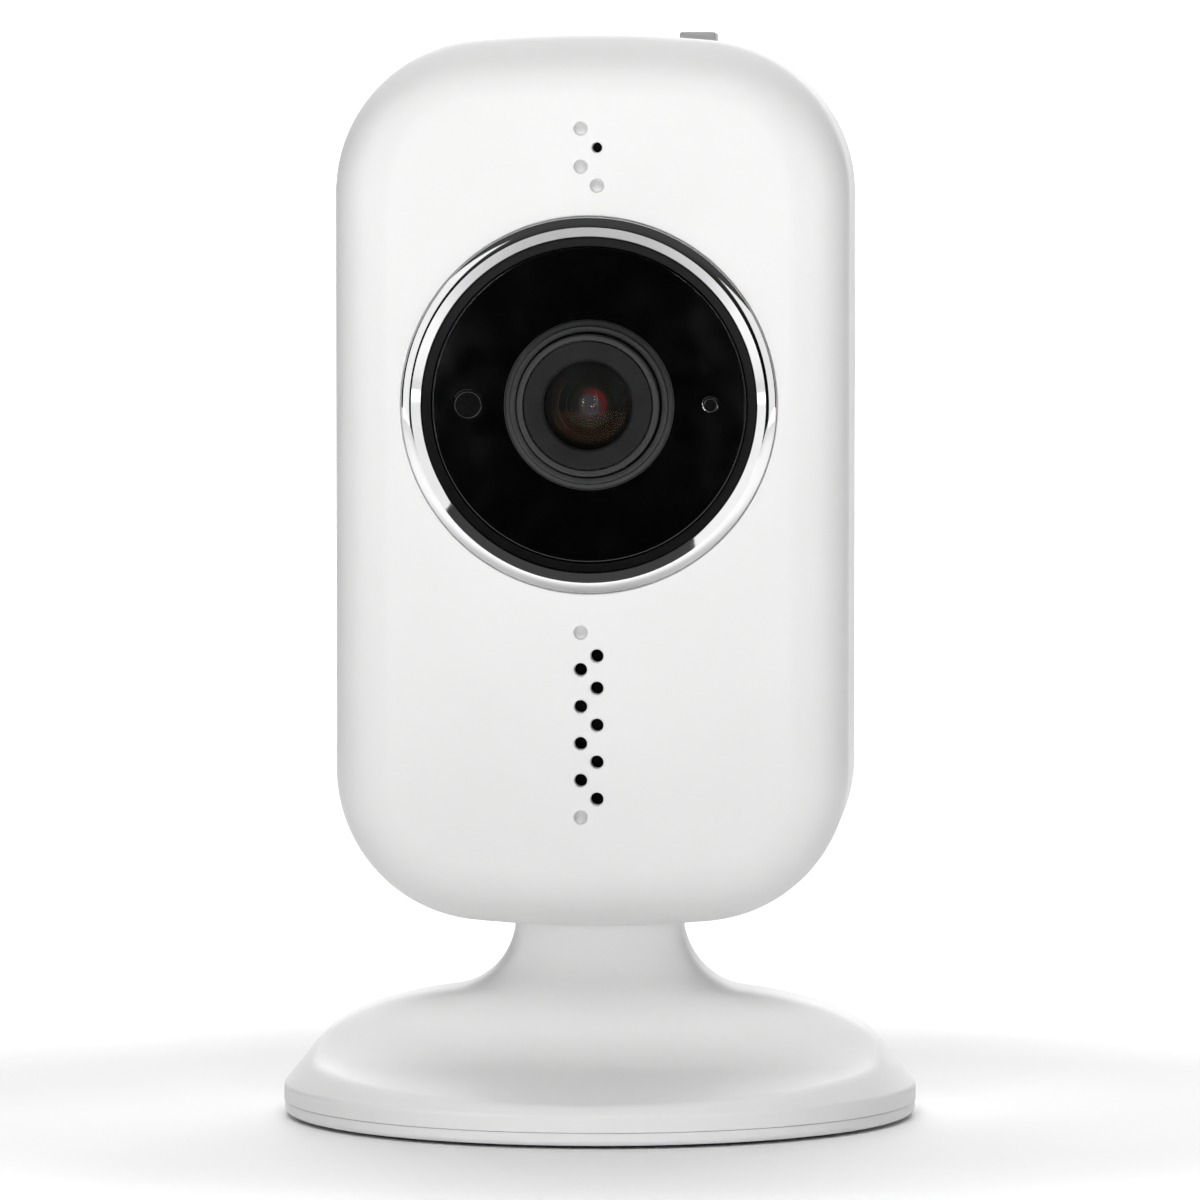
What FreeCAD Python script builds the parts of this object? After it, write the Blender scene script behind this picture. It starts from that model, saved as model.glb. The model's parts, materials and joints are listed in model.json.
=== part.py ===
import FreeCAD
import Part
import math
import os

# Desk-standing baby monitor camera: an upright rounded head on a flared round stand.
# Frame: millimetres, +Z up, the lens looks along -Y, origin on the table under the stand's centre.
# The head tilts about a cross pin inside its lower end, which the stand's flat neck enters from below.

V = FreeCAD.Vector
X_AXIS, Y_AXIS, Z_AXIS = V(1, 0, 0), V(0, 1, 0), V(0, 0, 1)
TO_FRONT, DOWN = V(0, -1, 0), V(0, 0, -1)
TINY = 1e-6

# ---- driving dimensions -------------------------------------------------------------------
HEAD_WIDTH = 60.0
HEAD_HEIGHT = 104.0
HEAD_DEPTH = 37.0
HEAD_BOTTOM = 23.7
HEAD_FRONT = -21.5
CROWN_RADIUS = 153.8       # shallow arc over the top and under the bottom
CORNER_RADIUS = 17.8       # corner arcs of the front outline
FRONT_ROUND = 7.0          # rounding of the front edge all the way round
REAR_ROUND = 9.0
WALL = 2.0
PARTING = -3.0             # plane where the two casings meet
SEAM = 0.2                 # visible gap between mating covers
TONGUE = 1.4               # length of the locating tongue behind the parting plane

STAND_RADIUS = 37.5
STAND_WALL_TOP = 3.8       # height where the upright rim turns into the chamfer
CHAMFER_SLOPE = 1.243      # rise over run of the chamfer
COVER_BOTTOM = 0.4
COVER_TOP = 1.9
NECK_HALF_WIDTH = 9.9
NECK_HALF_DEPTH = 6.3
STAND_WALL = 2.2

HINGE_Z = 31.0
PIN_RADIUS = 1.5
RUNNING_GAP = 0.05

RING_Z = 84.8              # height of the lens axis
RING_RADIUS = 21.8
RING_INNER = 19.5
PANEL_RADIUS = 18.35
PANEL_HOLE = 9.95
WINDOW_OFFSET = 14.08      # the two small windows sit this far left and right of the lens
LED_WINDOW_RADIUS = 0.9
SENSOR_WINDOW_RADIUS = 1.66

DOT_COLUMN = 0.95          # zigzag dots stand this far left and right of the centre line
DOT_RADIUS = 0.76
DOT_PITCH = 2.15
MIC_DOT_PITCH = 2.2
SPEAKER_TOP_DOT = 26.4     # first dot below the lens axis
MIC_TOP_DOT = 32.0         # first dot above the lens axis
MIC_HOLE_RADIUS = 0.6

BOARD_FRONT = 6.0
BOARD_BACK = 7.2

HEAD_TOP = HEAD_BOTTOM + HEAD_HEIGHT
HEAD_MIDDLE = HEAD_BOTTOM + HEAD_HEIGHT / 2
HEAD_REAR = HEAD_FRONT + HEAD_DEPTH
FRONT_INSIDE = HEAD_FRONT + WALL
REAR_INSIDE = HEAD_REAR - WALL
SPEAKER_Z = RING_Z - SPEAKER_TOP_DOT - 5 * DOT_PITCH
MIC_Z = RING_Z + MIC_TOP_DOT - MIC_DOT_PITCH


# ---- shape helpers ------------------------------------------------------------------------
def box(x0, x1, y0, y1, z0, z1):
    return Part.makeBox(x1 - x0, y1 - y0, z1 - z0, V(x0, y0, z0))


def cylinder_x(radius, x0, x1, y=0.0, z=0.0):
    return Part.makeCylinder(radius, x1 - x0, V(x0, y, z), X_AXIS)


def cylinder_y(radius, y0, y1, x=0.0, z=0.0):
    return Part.makeCylinder(radius, y1 - y0, V(x, y0, z), Y_AXIS)


def cylinder_z(radius, z0, z1, x=0.0, y=0.0):
    return Part.makeCylinder(radius, z1 - z0, V(x, y, z0), Z_AXIS)


def fuse(shapes):
    shapes = list(shapes)
    return shapes[0] if len(shapes) == 1 else shapes[0].multiFuse(shapes[1:])


def cut(shape, tools):
    return shape.cut(list(tools))


def group(solids):
    """Separate solids that share one node."""
    return Part.makeCompound(list(solids))


def lathe_y(profile, x=0.0, z=0.0):
    """Turns a closed outline of (radius, y) points about the line along Y through (x, z)."""
    wire = Part.makePolygon([V(r, y, 0) for r, y in profile + profile[:1]])
    solid = Part.Face(wire).revolve(V(0, 0, 0), Y_AXIS, 360)
    solid.translate(V(x, 0, z))
    return solid


def lathe_z(profile):
    """Turns a closed outline of (radius, z) points about the Z axis."""
    wire = Part.makePolygon([V(r, 0, z) for r, z in profile + profile[:1]])
    return Part.Face(wire).revolve(V(0, 0, 0), Z_AXIS, 360)


def tube_y(outer, inner, y0, y1, x=0.0, z=0.0):
    return cylinder_y(outer, y0, y1, x, z).cut(cylinder_y(inner, y0, y1, x, z))


def plate(half_x, half_z, radius, y0, y1, x=0.0, z=0.0):
    """A flat slab facing along Y with rounded corners."""
    slab = box(x - half_x, x + half_x, y0, y1, z - half_z, z + half_z)
    edges = [e for e in slab.Edges if abs(e.Vertexes[0].Y - e.Vertexes[1].Y) > TINY]
    return slab.makeFillet(radius, edges)


def post_box(radius, x0, x1, y0, y1, z0, z1):
    """A box with its four upright edges rounded."""
    block = box(x0, x1, y0, y1, z0, z1)
    edges = [e for e in block.Edges if abs(e.Vertexes[0].Z - e.Vertexes[1].Z) > TINY]
    return block.makeFillet(radius, edges)


def screw(shank_radius, head_radius, head_height, length):
    """A pan-head screw on the Z axis: head above z = 0, shank below, with a cross recess."""
    head = cylinder_z(head_radius, 0, head_height)
    rim = [e for e in head.Edges if e.BoundBox.ZMin > head_height - TINY]
    head = head.makeFillet(0.35 * head_height, rim)
    arm, width = 0.62 * head_radius, 0.2 * head_radius
    floor = 0.4 * head_height
    cross = [box(-arm, arm, -width, width, floor, head_height),
             box(-width, width, -arm, arm, floor, head_height)]
    shank = Part.makeCone(0.3 * shank_radius, shank_radius, shank_radius, V(0, 0, -length), Z_AXIS)
    shank = shank.fuse(cylinder_z(shank_radius, shank_radius - length, 0))
    return cut(head, cross).fuse(shank)


def placed(shape, x, y, z, facing):
    """A copy of a shape drawn on +Z, turned to face a direction and moved to (x, y, z)."""
    copy = shape.copy()
    copy.Placement = FreeCAD.Placement(V(x, y, z), FreeCAD.Rotation(Z_AXIS, facing))
    return copy


def tube_along(points, radius):
    """A round lead along straight runs joined by tangent arcs as large as the runs allow."""
    points = [V(*p) for p in points]
    edges, last = [], points[0]
    for before, corner, after in zip(points, points[1:], points[2:]):
        back, ahead = before - corner, after - corner
        turn = math.pi - back.getAngle(ahead)
        reach = 0.45 * min(back.Length, ahead.Length)
        bend = reach / math.tan(turn / 2)
        start = corner + back.normalize() * reach
        end = corner + ahead.normalize() * reach
        inward = (back + ahead).normalize()
        middle = corner + inward * (math.hypot(bend, reach) - bend)
        edges.append(Part.LineSegment(last, start).toShape())
        edges.append(Part.Arc(start, middle, end).toShape())
        last = end
    edges.append(Part.LineSegment(last, points[-1]).toShape())
    path = Part.Wire(edges)
    section = Part.Wire(Part.makeCircle(radius, points[0], points[1] - points[0]))
    return path.makePipeShell([section], True, False)


# ---- head casings -------------------------------------------------------------------------
def head_outline(inset, y):
    """The head's front outline at a depth, drawn inside itself by the inset."""
    half, corner, crown = HEAD_WIDTH / 2 - inset, CORNER_RADIUS - inset, CROWN_RADIUS - inset
    corner_x = half - corner
    crown_drop = HEAD_HEIGHT / 2 - CROWN_RADIUS
    corner_z = crown_drop + math.sqrt((crown - corner) ** 2 - corner_x ** 2)
    lean = math.atan2(corner_x, corner_z - crown_drop)
    mid_lean = (lean + math.pi / 2) / 2

    def point(x, z):
        return V(x, y, HEAD_MIDDLE + z)

    shoulder_x = crown * math.sin(lean)
    shoulder_z = crown_drop + crown * math.cos(lean)
    bend_x = corner_x + corner * math.sin(mid_lean)
    bend_z = corner_z + corner * math.cos(mid_lean)
    crown_z = crown_drop + crown
    return Part.Wire([
        Part.Arc(point(-shoulder_x, shoulder_z), point(0, crown_z),
                 point(shoulder_x, shoulder_z)).toShape(),
        Part.Arc(point(shoulder_x, shoulder_z), point(bend_x, bend_z),
                 point(half, corner_z)).toShape(),
        Part.LineSegment(point(half, corner_z), point(half, -corner_z)).toShape(),
        Part.Arc(point(half, -corner_z), point(bend_x, -bend_z),
                 point(shoulder_x, -shoulder_z)).toShape(),
        Part.Arc(point(shoulder_x, -shoulder_z), point(0, -crown_z),
                 point(-shoulder_x, -shoulder_z)).toShape(),
        Part.Arc(point(-shoulder_x, -shoulder_z), point(-bend_x, -bend_z),
                 point(-half, -corner_z)).toShape(),
        Part.LineSegment(point(-half, -corner_z), point(-half, corner_z)).toShape(),
        Part.Arc(point(-half, corner_z), point(-bend_x, bend_z),
                 point(-shoulder_x, shoulder_z)).toShape(),
    ])


def head_block(inset, y0, y1, round_at=None, radius=0.0):
    """The outline made solid from y0 to y1, with one end's edge rounded."""
    block = Part.Face(head_outline(inset, y0)).extrude(V(0, y1 - y0, 0))
    if round_at is None:
        return block
    rim = [e for e in block.Edges
           if abs(e.BoundBox.YMin - round_at) < 1e-4 and abs(e.BoundBox.YMax - round_at) < 1e-4]
    return block.makeFillet(radius, rim)


SLOT_FRONT, SLOT_REAR = -9.6, 11.3


def neck_slot():
    """The opening in the head's underside that the neck swings in."""
    half = NECK_HALF_WIDTH + 0.6
    return post_box(2.0, -half, half, SLOT_FRONT, SLOT_REAR, HEAD_BOTTOM - 2, HEAD_BOTTOM + 6)


CASING_SCREWS = [(sx * 20.0, z) for sx in (-1, 1) for z in (50.0, 112.0)]
BOARD_SCREWS = [(sx * 21.0, z) for sx in (-1, 1) for z in (61.0, 101.0)]
CRADLE_SCREWS = [(-16.2, 36.6), (16.2, 36.6)]
POST_OFFSETS = (-15.2, 15.2)
BOSS_RADIUS = 3.2
SCREW_RECESS = 4.0         # depth of the casing screws' heads behind the rear face
SMALL_SCREW_RADIUS = 0.95
CRADLE_TAB_FRONT = 7.4


def zigzag(first, pitch, count, start_side):
    """Places of a zigzag row of dots, from the top down, as (x, z)."""
    return [(DOT_COLUMN * start_side * (-1) ** i, first - i * pitch) for i in range(count)]


def speaker_dots():
    dots = zigzag(RING_Z - SPEAKER_TOP_DOT, DOT_PITCH, 11, -1)
    x, z = dots[1]
    dots[1] = (x, z - 0.55)   # the first open hole stands a little low of the even pitch
    return dots


def dimple(x, z):
    """A shallow round dent in the front face."""
    ball, depth = 0.95, 0.45
    return Part.makeSphere(ball, V(x, HEAD_FRONT - ball + depth, z))


def front_casing():
    shell = head_block(0, HEAD_FRONT, PARTING - SEAM / 2, HEAD_FRONT, FRONT_ROUND)
    inside = head_block(WALL, FRONT_INSIDE, PARTING, FRONT_INSIDE, FRONT_ROUND - WALL)
    tongue = head_block(WALL / 2 + 0.05, PARTING - SEAM, PARTING + TONGUE)
    tongue = tongue.cut(head_block(WALL, PARTING - SEAM, PARTING + TONGUE))
    shell = shell.cut(inside).fuse(tongue)
    bosses = [cylinder_y(BOSS_RADIUS, FRONT_INSIDE - 0.1, PARTING - SEAM / 2, x, z)
              for x, z in CASING_SCREWS]
    bosses.append(tube_y(15.8, 14.6, FRONT_INSIDE - 0.1, -14.0, 0, SPEAKER_Z))
    bosses.append(tube_y(5.4, 4.4, FRONT_INSIDE - 0.1, -16.0, DOT_COLUMN, MIC_Z))
    shell = fuse([shell] + bosses)
    dots = speaker_dots()
    mic = zigzag(RING_Z + MIC_TOP_DOT, MIC_DOT_PITCH, 4, -1)
    tools = [cylinder_y(RING_RADIUS + 0.08, HEAD_FRONT - 1, HEAD_FRONT + 0.9, 0, RING_Z),
             cylinder_y(RING_INNER + 0.1, HEAD_FRONT - 1, FRONT_INSIDE + 1, 0, RING_Z),
             neck_slot()]
    tools += [cylinder_y(DOT_RADIUS, HEAD_FRONT - 1, FRONT_INSIDE + 1, x, z) for x, z in dots[1:-1]]
    tools += [dimple(x, z) for x, z in (dots[0], dots[-1], mic[0], mic[2], mic[3])]
    tools += [cylinder_y(MIC_HOLE_RADIUS, HEAD_FRONT - 1, FRONT_INSIDE + 1, *mic[1])]
    tools += [cylinder_y(1.2, -14.0, PARTING, x, z) for x, z in CASING_SCREWS]
    return cut(shell, tools)


VENT_HALF_LENGTH = 9.0
VENT_Z = [93.0 + 3.2 * i for i in range(6)]
USB_Z = 49.0
LABEL_Z = 71.5
LABEL_HALF = (12.0, 8.0)
LABEL_THICKNESS = 0.15
CARD_Z = 92.0
BUTTON_X, BUTTON_Y = 11.55, 2.8
BUTTON_HALF_X, BUTTON_HALF_Y = 2.15, 3.2
BUTTON_GAP = 0.15


def rear_casing():
    shell = head_block(0, PARTING + SEAM / 2, HEAD_REAR, HEAD_REAR, REAR_ROUND)
    inside = head_block(WALL, PARTING, REAR_INSIDE, REAR_INSIDE, REAR_ROUND - WALL)
    shell = shell.cut(inside)
    shell = shell.cut(head_block(WALL / 2, PARTING, PARTING + TONGUE + 0.1))
    back = REAR_INSIDE + 0.1
    bosses = [cylinder_y(BOSS_RADIUS, PARTING + SEAM / 2, back, x, z) for x, z in CASING_SCREWS]
    bosses += [cylinder_y(2.6, BOARD_BACK, back, x, z) for x, z in BOARD_SCREWS]
    bosses += [cylinder_y(2.7, 9.5, back, x, z) for x, z in CRADLE_SCREWS]
    shell = fuse([shell] + bosses)
    tools = [neck_slot()]
    for x, z in CASING_SCREWS:
        tools.append(cylinder_y(1.25, PARTING - 1, HEAD_REAR + 1, x, z))
        tools.append(cylinder_y(2.5, HEAD_REAR - SCREW_RECESS, HEAD_REAR + 1, x, z))
    tools += [cylinder_y(SMALL_SCREW_RADIUS, BOARD_BACK - 1, REAR_INSIDE, x, z)
              for x, z in BOARD_SCREWS]
    tools += [cylinder_y(SMALL_SCREW_RADIUS, 9.0, REAR_INSIDE, x, z) for x, z in CRADLE_SCREWS]
    tools += [plate(VENT_HALF_LENGTH, 0.65, 0.6, REAR_INSIDE - 1, HEAD_REAR + 1, 0, z)
              for z in VENT_Z]
    tools.append(plate(4.15, 1.75, 0.7, REAR_INSIDE - 1, HEAD_REAR + 1, 0, USB_Z))
    tools.append(plate(6.6, 4.2, 2.0, HEAD_REAR - 0.9, HEAD_REAR + 1, 0, USB_Z))
    tools.append(plate(*LABEL_HALF, 1.5, HEAD_REAR - LABEL_THICKNESS, HEAD_REAR + 1, 0, LABEL_Z))
    tools.append(box(26, 31, 4.15, 5.75, CARD_Z - 6, CARD_Z + 6))
    half_x, half_y = BUTTON_HALF_X + BUTTON_GAP, BUTTON_HALF_Y + BUTTON_GAP
    tools.append(post_box(0.65 + BUTTON_GAP, BUTTON_X - half_x, BUTTON_X + half_x,
                          BUTTON_Y - half_y, BUTTON_Y + half_y, HEAD_TOP - 5, HEAD_TOP + 2))
    return cut(shell, tools)


def casing_screws():
    one = screw(1.2, 2.2, 1.6, 20.0)
    return group(placed(one, x, HEAD_REAR - SCREW_RECESS, z, Y_AXIS) for x, z in CASING_SCREWS)


def rating_label():
    return plate(LABEL_HALF[0] - 0.1, LABEL_HALF[1] - 0.1, 1.4, HEAD_REAR - LABEL_THICKNESS,
                 HEAD_REAR - 0.03, 0, LABEL_Z)


# ---- lens window ----------------------------------------------------------------------------
def bezel_ring():
    """Bright ring: a rounded bead outside and a cone that falls inward to the black bezel."""
    f = HEAD_FRONT
    outer, crest, shelf = V(RING_RADIUS, f - 0.35, 0), V(21.25, f - 1.02, 0), V(20.5, f - 0.8, 0)
    corners = [shelf, V(RING_INNER, f + 0.35, 0), V(RING_INNER, f + 0.9, 0),
               V(RING_RADIUS, f + 0.9, 0), outer]
    edges = [Part.LineSegment(a, b).toShape() for a, b in zip(corners, corners[1:])]
    edges.append(Part.Arc(outer, crest, shelf).toShape())
    ring = Part.Face(Part.Wire(edges)).revolve(V(0, 0, 0), Y_AXIS, 360)
    ring.translate(V(0, 0, RING_Z))
    return ring


SENSOR_BOARD_FRONT = -4.0
SENSOR_BOARD_BACK = -3.0
PANEL_FRONT = HEAD_FRONT + 0.75
PANEL_BACK = PANEL_FRONT + 1.5
BEZEL_BACK = PANEL_BACK + 0.95


def lens_bezel():
    """Black cup behind the bright ring: holds the window panel and carries the sensor posts."""
    cup = lathe_y([(RING_INNER - 0.05, HEAD_FRONT + 0.35), (RING_INNER - 0.05, FRONT_INSIDE),
                   (21.2, FRONT_INSIDE), (21.2, BEZEL_BACK), (16.9, BEZEL_BACK),
                   (16.9, PANEL_BACK), (PANEL_RADIUS + 0.05, PANEL_BACK),
                   (PANEL_RADIUS + 0.05, PANEL_FRONT - 0.1),
                   (PANEL_RADIUS + 0.2, HEAD_FRONT + 0.35)], 0, RING_Z)
    posts = [cylinder_y(2.4, PANEL_BACK, SENSOR_BOARD_FRONT, 0, RING_Z + dz) for dz in POST_OFFSETS]
    holes = [cylinder_y(SMALL_SCREW_RADIUS, -12.0, SENSOR_BOARD_FRONT, 0, RING_Z + dz)
             for dz in POST_OFFSETS]
    return cut(fuse([cup] + posts), holes)


def window_panel():
    bevel = 0.18
    disc = lathe_y([(PANEL_HOLE, PANEL_BACK), (PANEL_HOLE, PANEL_FRONT + bevel),
                    (PANEL_HOLE + bevel, PANEL_FRONT), (PANEL_RADIUS - bevel, PANEL_FRONT),
                    (PANEL_RADIUS, PANEL_FRONT + bevel), (PANEL_RADIUS, PANEL_BACK)], 0, RING_Z)
    holes = [cylinder_y(r + 0.04, PANEL_FRONT - 1, PANEL_BACK + 1, x, RING_Z)
             for r, x in ((SENSOR_WINDOW_RADIUS, -WINDOW_OFFSET), (LED_WINDOW_RADIUS, WINDOW_OFFSET))]
    return cut(disc, holes)


def light_pipe(radius, x):
    """A stepped clear plug whose front sits flush in the window panel."""
    flange = cylinder_y(radius + 0.5, PANEL_BACK, PANEL_BACK + 0.5, x, RING_Z)
    return cylinder_y(radius, PANEL_FRONT, PANEL_BACK, x, RING_Z).fuse(flange)


def light_sensor_window():
    return light_pipe(SENSOR_WINDOW_RADIUS, -WINDOW_OFFSET)


def status_light_window():
    return light_pipe(LED_WINDOW_RADIUS, WINDOW_OFFSET)


SHROUD_BORE = 8.45
BARREL_RADIUS = 8.28
BARREL_FRONT = HEAD_FRONT - 2.0
RETAINER_RADIUS = 7.42
GLASS_OPENING = 5.12
THREAD_RADIUS = 5.95
BARREL_BACK = -9.2


def lens_shroud():
    """Black collar in the panel's hole, round the lens barrel."""
    return lathe_y([(SHROUD_BORE, BEZEL_BACK), (SHROUD_BORE, HEAD_FRONT + 0.3),
                    (8.75, HEAD_FRONT), (9.2, HEAD_FRONT), (9.35, HEAD_FRONT + 0.15),
                    (PANEL_HOLE - 0.06, PANEL_FRONT + 0.35), (PANEL_HOLE - 0.06, PANEL_BACK),
                    (11.0, PANEL_BACK), (11.0, BEZEL_BACK)], 0, RING_Z)


def lens_barrel():
    """Screw-in lens body: wide front head, threaded tail, one stepped bore for the glasses."""
    f = BARREL_FRONT
    return lathe_y([(BARREL_RADIUS, f + 0.25), (BARREL_RADIUS, -18.0), (THREAD_RADIUS, -17.4),
                    (THREAD_RADIUS, BARREL_BACK), (3.2, BARREL_BACK), (3.2, -11.0), (4.3, -11.0),
                    (4.3, -19.6), (5.45, -19.6), (5.45, f + 1.2), (RETAINER_RADIUS + 0.12, f + 1.2),
                    (RETAINER_RADIUS + 0.12, f), (8.05, f)], 0, RING_Z)


def lens_retaining_ring():
    """Flat dark ring that clamps the front glass."""
    f = BARREL_FRONT
    return lathe_y([(RETAINER_RADIUS, f + 0.1), (RETAINER_RADIUS, f + 1.2), (5.6, f + 1.2),
                    (5.5, f + 1.05), (GLASS_OPENING + 0.1, f + 0.75), (GLASS_OPENING, f + 0.45),
                    (GLASS_OPENING + 0.3, f), (RETAINER_RADIUS - 0.1, f)], 0, RING_Z)


def ball_through(rim_radius, y_rim, rise):
    """Ball through a rim circle about the lens axis whose near face bulges towards -Y by the rise."""
    radius = (rim_radius ** 2 + rise ** 2) / (2 * abs(rise))
    centre = y_rim - rise + math.copysign(radius, rise)
    return Part.makeSphere(radius, V(0, centre, RING_Z))


def lens_glass(rim_radius, y_rim, thickness, front_rise, back_rise):
    """A round glass: the rim is a cylinder, and each face bulges towards -Y by its rise."""
    back = y_rim + thickness
    blank = cylinder_y(rim_radius, y_rim - front_rise - 0.5, back + max(0.0, -back_rise) + 0.5,
                       0, RING_Z)
    blank = blank.common(ball_through(rim_radius, y_rim, front_rise))
    rear_ball = ball_through(rim_radius, back, back_rise)
    if back_rise > 0:
        return blank.cut(rear_ball)
    return blank.common(rear_ball)


def lens_front_glass():
    return lens_glass(5.4, BARREL_FRONT + 1.3, 1.6, 1.25, 0.9)


def lens_spacers():
    """Black rings between the glasses: a stepped light baffle in front and a flat stop behind."""
    baffle = lathe_y([(5.4, -20.55), (5.4, -19.6), (4.25, -19.6), (4.25, -18.5), (2.6, -18.5),
                      (2.6, -18.8), (3.5, -19.2), (3.5, -19.8), (4.3, -20.3), (4.9, -20.55)], 0, RING_Z)
    return group([baffle, tube_y(4.25, 1.6, -15.1, -14.5, 0, RING_Z)])


def lens_middle_glass():
    return lens_glass(4.2, -18.0, 2.2, 0.5, -0.6)


def lens_rear_glass():
    return lens_glass(4.2, -13.9, 2.4, 0.4, -0.3)


# ---- sensor, filter and night-vision board --------------------------------------------------
FILTER_TRAVEL = 6.6
SLIDER_FRONT, SLIDER_BACK = -7.4, -6.4
SLIDER_X = -FILTER_TRAVEL / 2          # the slider rests with its day window on the lens axis
FILTER_PLACES = (SLIDER_X - FILTER_TRAVEL / 2, SLIDER_X + FILTER_TRAVEL / 2)
HOUSING_FRONT = -8.4


def lens_holder():
    """Threaded collar that the lens screws into."""
    tube = tube_y(7.4, THREAD_RADIUS + RUNNING_GAP, -15.5, -9.0, 0, RING_Z)
    flange = plate(11.0, 7.5, 1.0, -9.0, HOUSING_FRONT, 0, RING_Z)
    return tube.fuse(flange.cut(cylinder_y(3.4, -9.5, -8.0, 0, RING_Z)))


def filter_housing():
    """Flat box between the lens holder and the sensor board, in which the filter slides."""
    body = plate(11.0, 7.5, 1.0, HOUSING_FRONT, SENSOR_BOARD_FRONT, 0, RING_Z)
    slide_way = box(-10.3, 10.3, -7.6, -6.2, RING_Z - 4.6, RING_Z + 4.6)
    sensor_room = box(-5.6, 5.6, -5.4, SENSOR_BOARD_FRONT, RING_Z - 4.6, RING_Z + 4.6)
    coil_room = box(-4.2, 4.2, -8.0, -4.8, RING_Z + 4.9, RING_Z + 7.1)
    light_way = cylinder_y(3.2, -9.0, SENSOR_BOARD_FRONT, 0, RING_Z)
    return cut(body, [slide_way, sensor_room, coil_room, light_way])


def filter_coil():
    """Flat coil that drives the slider's magnet."""
    return box(-3.9, 3.9, -7.7, -5.1, RING_Z + 5.1, RING_Z + 6.9)


def filter_magnet():
    return box(SLIDER_X - 1.2, SLIDER_X + 1.2, SLIDER_FRONT, SLIDER_BACK, RING_Z + 3.1, RING_Z + 4.3)


def filter_slider():
    """Thin frame with two round windows, one for day and one for night."""
    frame = box(SLIDER_X - 6.7, SLIDER_X + 6.7, SLIDER_FRONT, SLIDER_BACK, RING_Z - 4.3, RING_Z + 4.3)
    windows = [cylinder_y(2.8, -8, -6, x, RING_Z) for x in FILTER_PLACES]
    return cut(frame, windows + [filter_magnet()])


def filter_glasses():
    return group(cylinder_y(2.8, -7.1, -6.7, x, RING_Z) for x in FILTER_PLACES)


def image_sensor():
    body = box(-4.8, 4.8, -4.9, SENSOR_BOARD_FRONT, RING_Z - 3.9, RING_Z + 3.9)
    window = box(-3.2, 3.2, -5.0, -4.8, RING_Z - 2.2, RING_Z + 2.2)
    return body.cut(window)


def sensor_board():
    board = plate(12.5, 18.2, 1.5, SENSOR_BOARD_FRONT, SENSOR_BOARD_BACK, 0, RING_Z)
    holes = [cylinder_y(1.1, -5, -2, 0, RING_Z + dz) for dz in POST_OFFSETS]
    return cut(board, holes)


LED_BOARD_FRONT = -17.4
LED_BOARD_BACK = -16.6
LED_ANGLES = (30, 55, 125, 150, 210, 235, 305, 330)


def night_light_board():
    """Ring board behind the dark panel."""
    ring = tube_y(16.6, 11.4, LED_BOARD_FRONT, LED_BOARD_BACK, 0, RING_Z)
    notches = [cylinder_y(2.7, -18, -16, 0, RING_Z + dz) for dz in POST_OFFSETS]
    return cut(ring, notches)


def night_lights():
    """Infra-red emitters, each a square case with a low dome."""
    lamps = []
    for angle in LED_ANGLES:
        x = 14.0 * math.cos(math.radians(angle))
        z = RING_Z + 14.0 * math.sin(math.radians(angle))
        case = box(x - 1.4, x + 1.4, LED_BOARD_FRONT - 0.7, LED_BOARD_FRONT, z - 1.4, z + 1.4)
        dome = Part.makeSphere(1.3, V(x, LED_BOARD_FRONT - 0.1, z))
        dome = dome.common(box(x - 2, x + 2, -19, LED_BOARD_FRONT - 0.5, z - 2, z + 2))
        lamps.append(case.fuse(dome))
    return group(lamps)


def light_sensor():
    x = -WINDOW_OFFSET
    return box(x - 1.3, x + 1.3, -18.3, LED_BOARD_FRONT, RING_Z - 1.6, RING_Z + 1.6)


def status_light():
    x = WINDOW_OFFSET
    return box(x - 0.8, x + 0.8, -18.1, LED_BOARD_FRONT, RING_Z - 0.8, RING_Z + 0.8)


# ---- main board -----------------------------------------------------------------------------
BOARD_BOTTOM, BOARD_TOP = 43.0, 119.0
PROCESSOR_Z = 84.0
WIRELESS_Z = 111.0


def main_board():
    """Tall board with its corners cut back round the casing screws."""
    wide = plate(24.5, 22.5, 1.0, BOARD_FRONT, BOARD_BACK, 0, 81.0)
    tall = plate(15.2, (BOARD_TOP - BOARD_BOTTOM) / 2, 1.0, BOARD_FRONT, BOARD_BACK, 0,
                 (BOARD_TOP + BOARD_BOTTOM) / 2)
    holes = [cylinder_y(1.2, 5, 8, x, z) for x, z in BOARD_SCREWS]
    return cut(wide.fuse(tall), holes)


def inner_screws():
    """Eight like screws: two hold the sensor board, four the main board, two the hinge cradle."""
    one = screw(SMALL_SCREW_RADIUS, 1.8, 1.2, 5.8)
    screws = [placed(one, 0, SENSOR_BOARD_BACK, RING_Z + dz, Y_AXIS) for dz in POST_OFFSETS]
    screws += [placed(one, x, BOARD_FRONT, z, TO_FRONT) for x, z in BOARD_SCREWS]
    screws += [placed(one, x, CRADLE_TAB_FRONT, z, TO_FRONT) for x, z in CRADLE_SCREWS]
    return group(screws)


def processor():
    return plate(6.5, 6.5, 0.4, BOARD_FRONT - 1.2, BOARD_FRONT, 0, PROCESSOR_Z)


def heat_spreader():
    """Finned aluminium plate on the processor."""
    top = BOARD_FRONT - 1.2
    base = box(-7.0, 7.0, top - 1.0, top, PROCESSOR_Z - 7, PROCESSOR_Z + 7)
    fins = [box(x - 0.4, x + 0.4, top - 3.6, top - 0.9, PROCESSOR_Z - 7, PROCESSOR_Z + 7)
            for x in (-6.0, -3.6, -1.2, 1.2, 3.6, 6.0)]
    return fuse([base] + fins)


def memory_chips():
    places = ((-15.5, 86.0), (-15.5, 72.0))
    return group(box(x - 4, x + 4, BOARD_FRONT - 1.0, BOARD_FRONT, z - 5, z + 5) for x, z in places)


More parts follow.
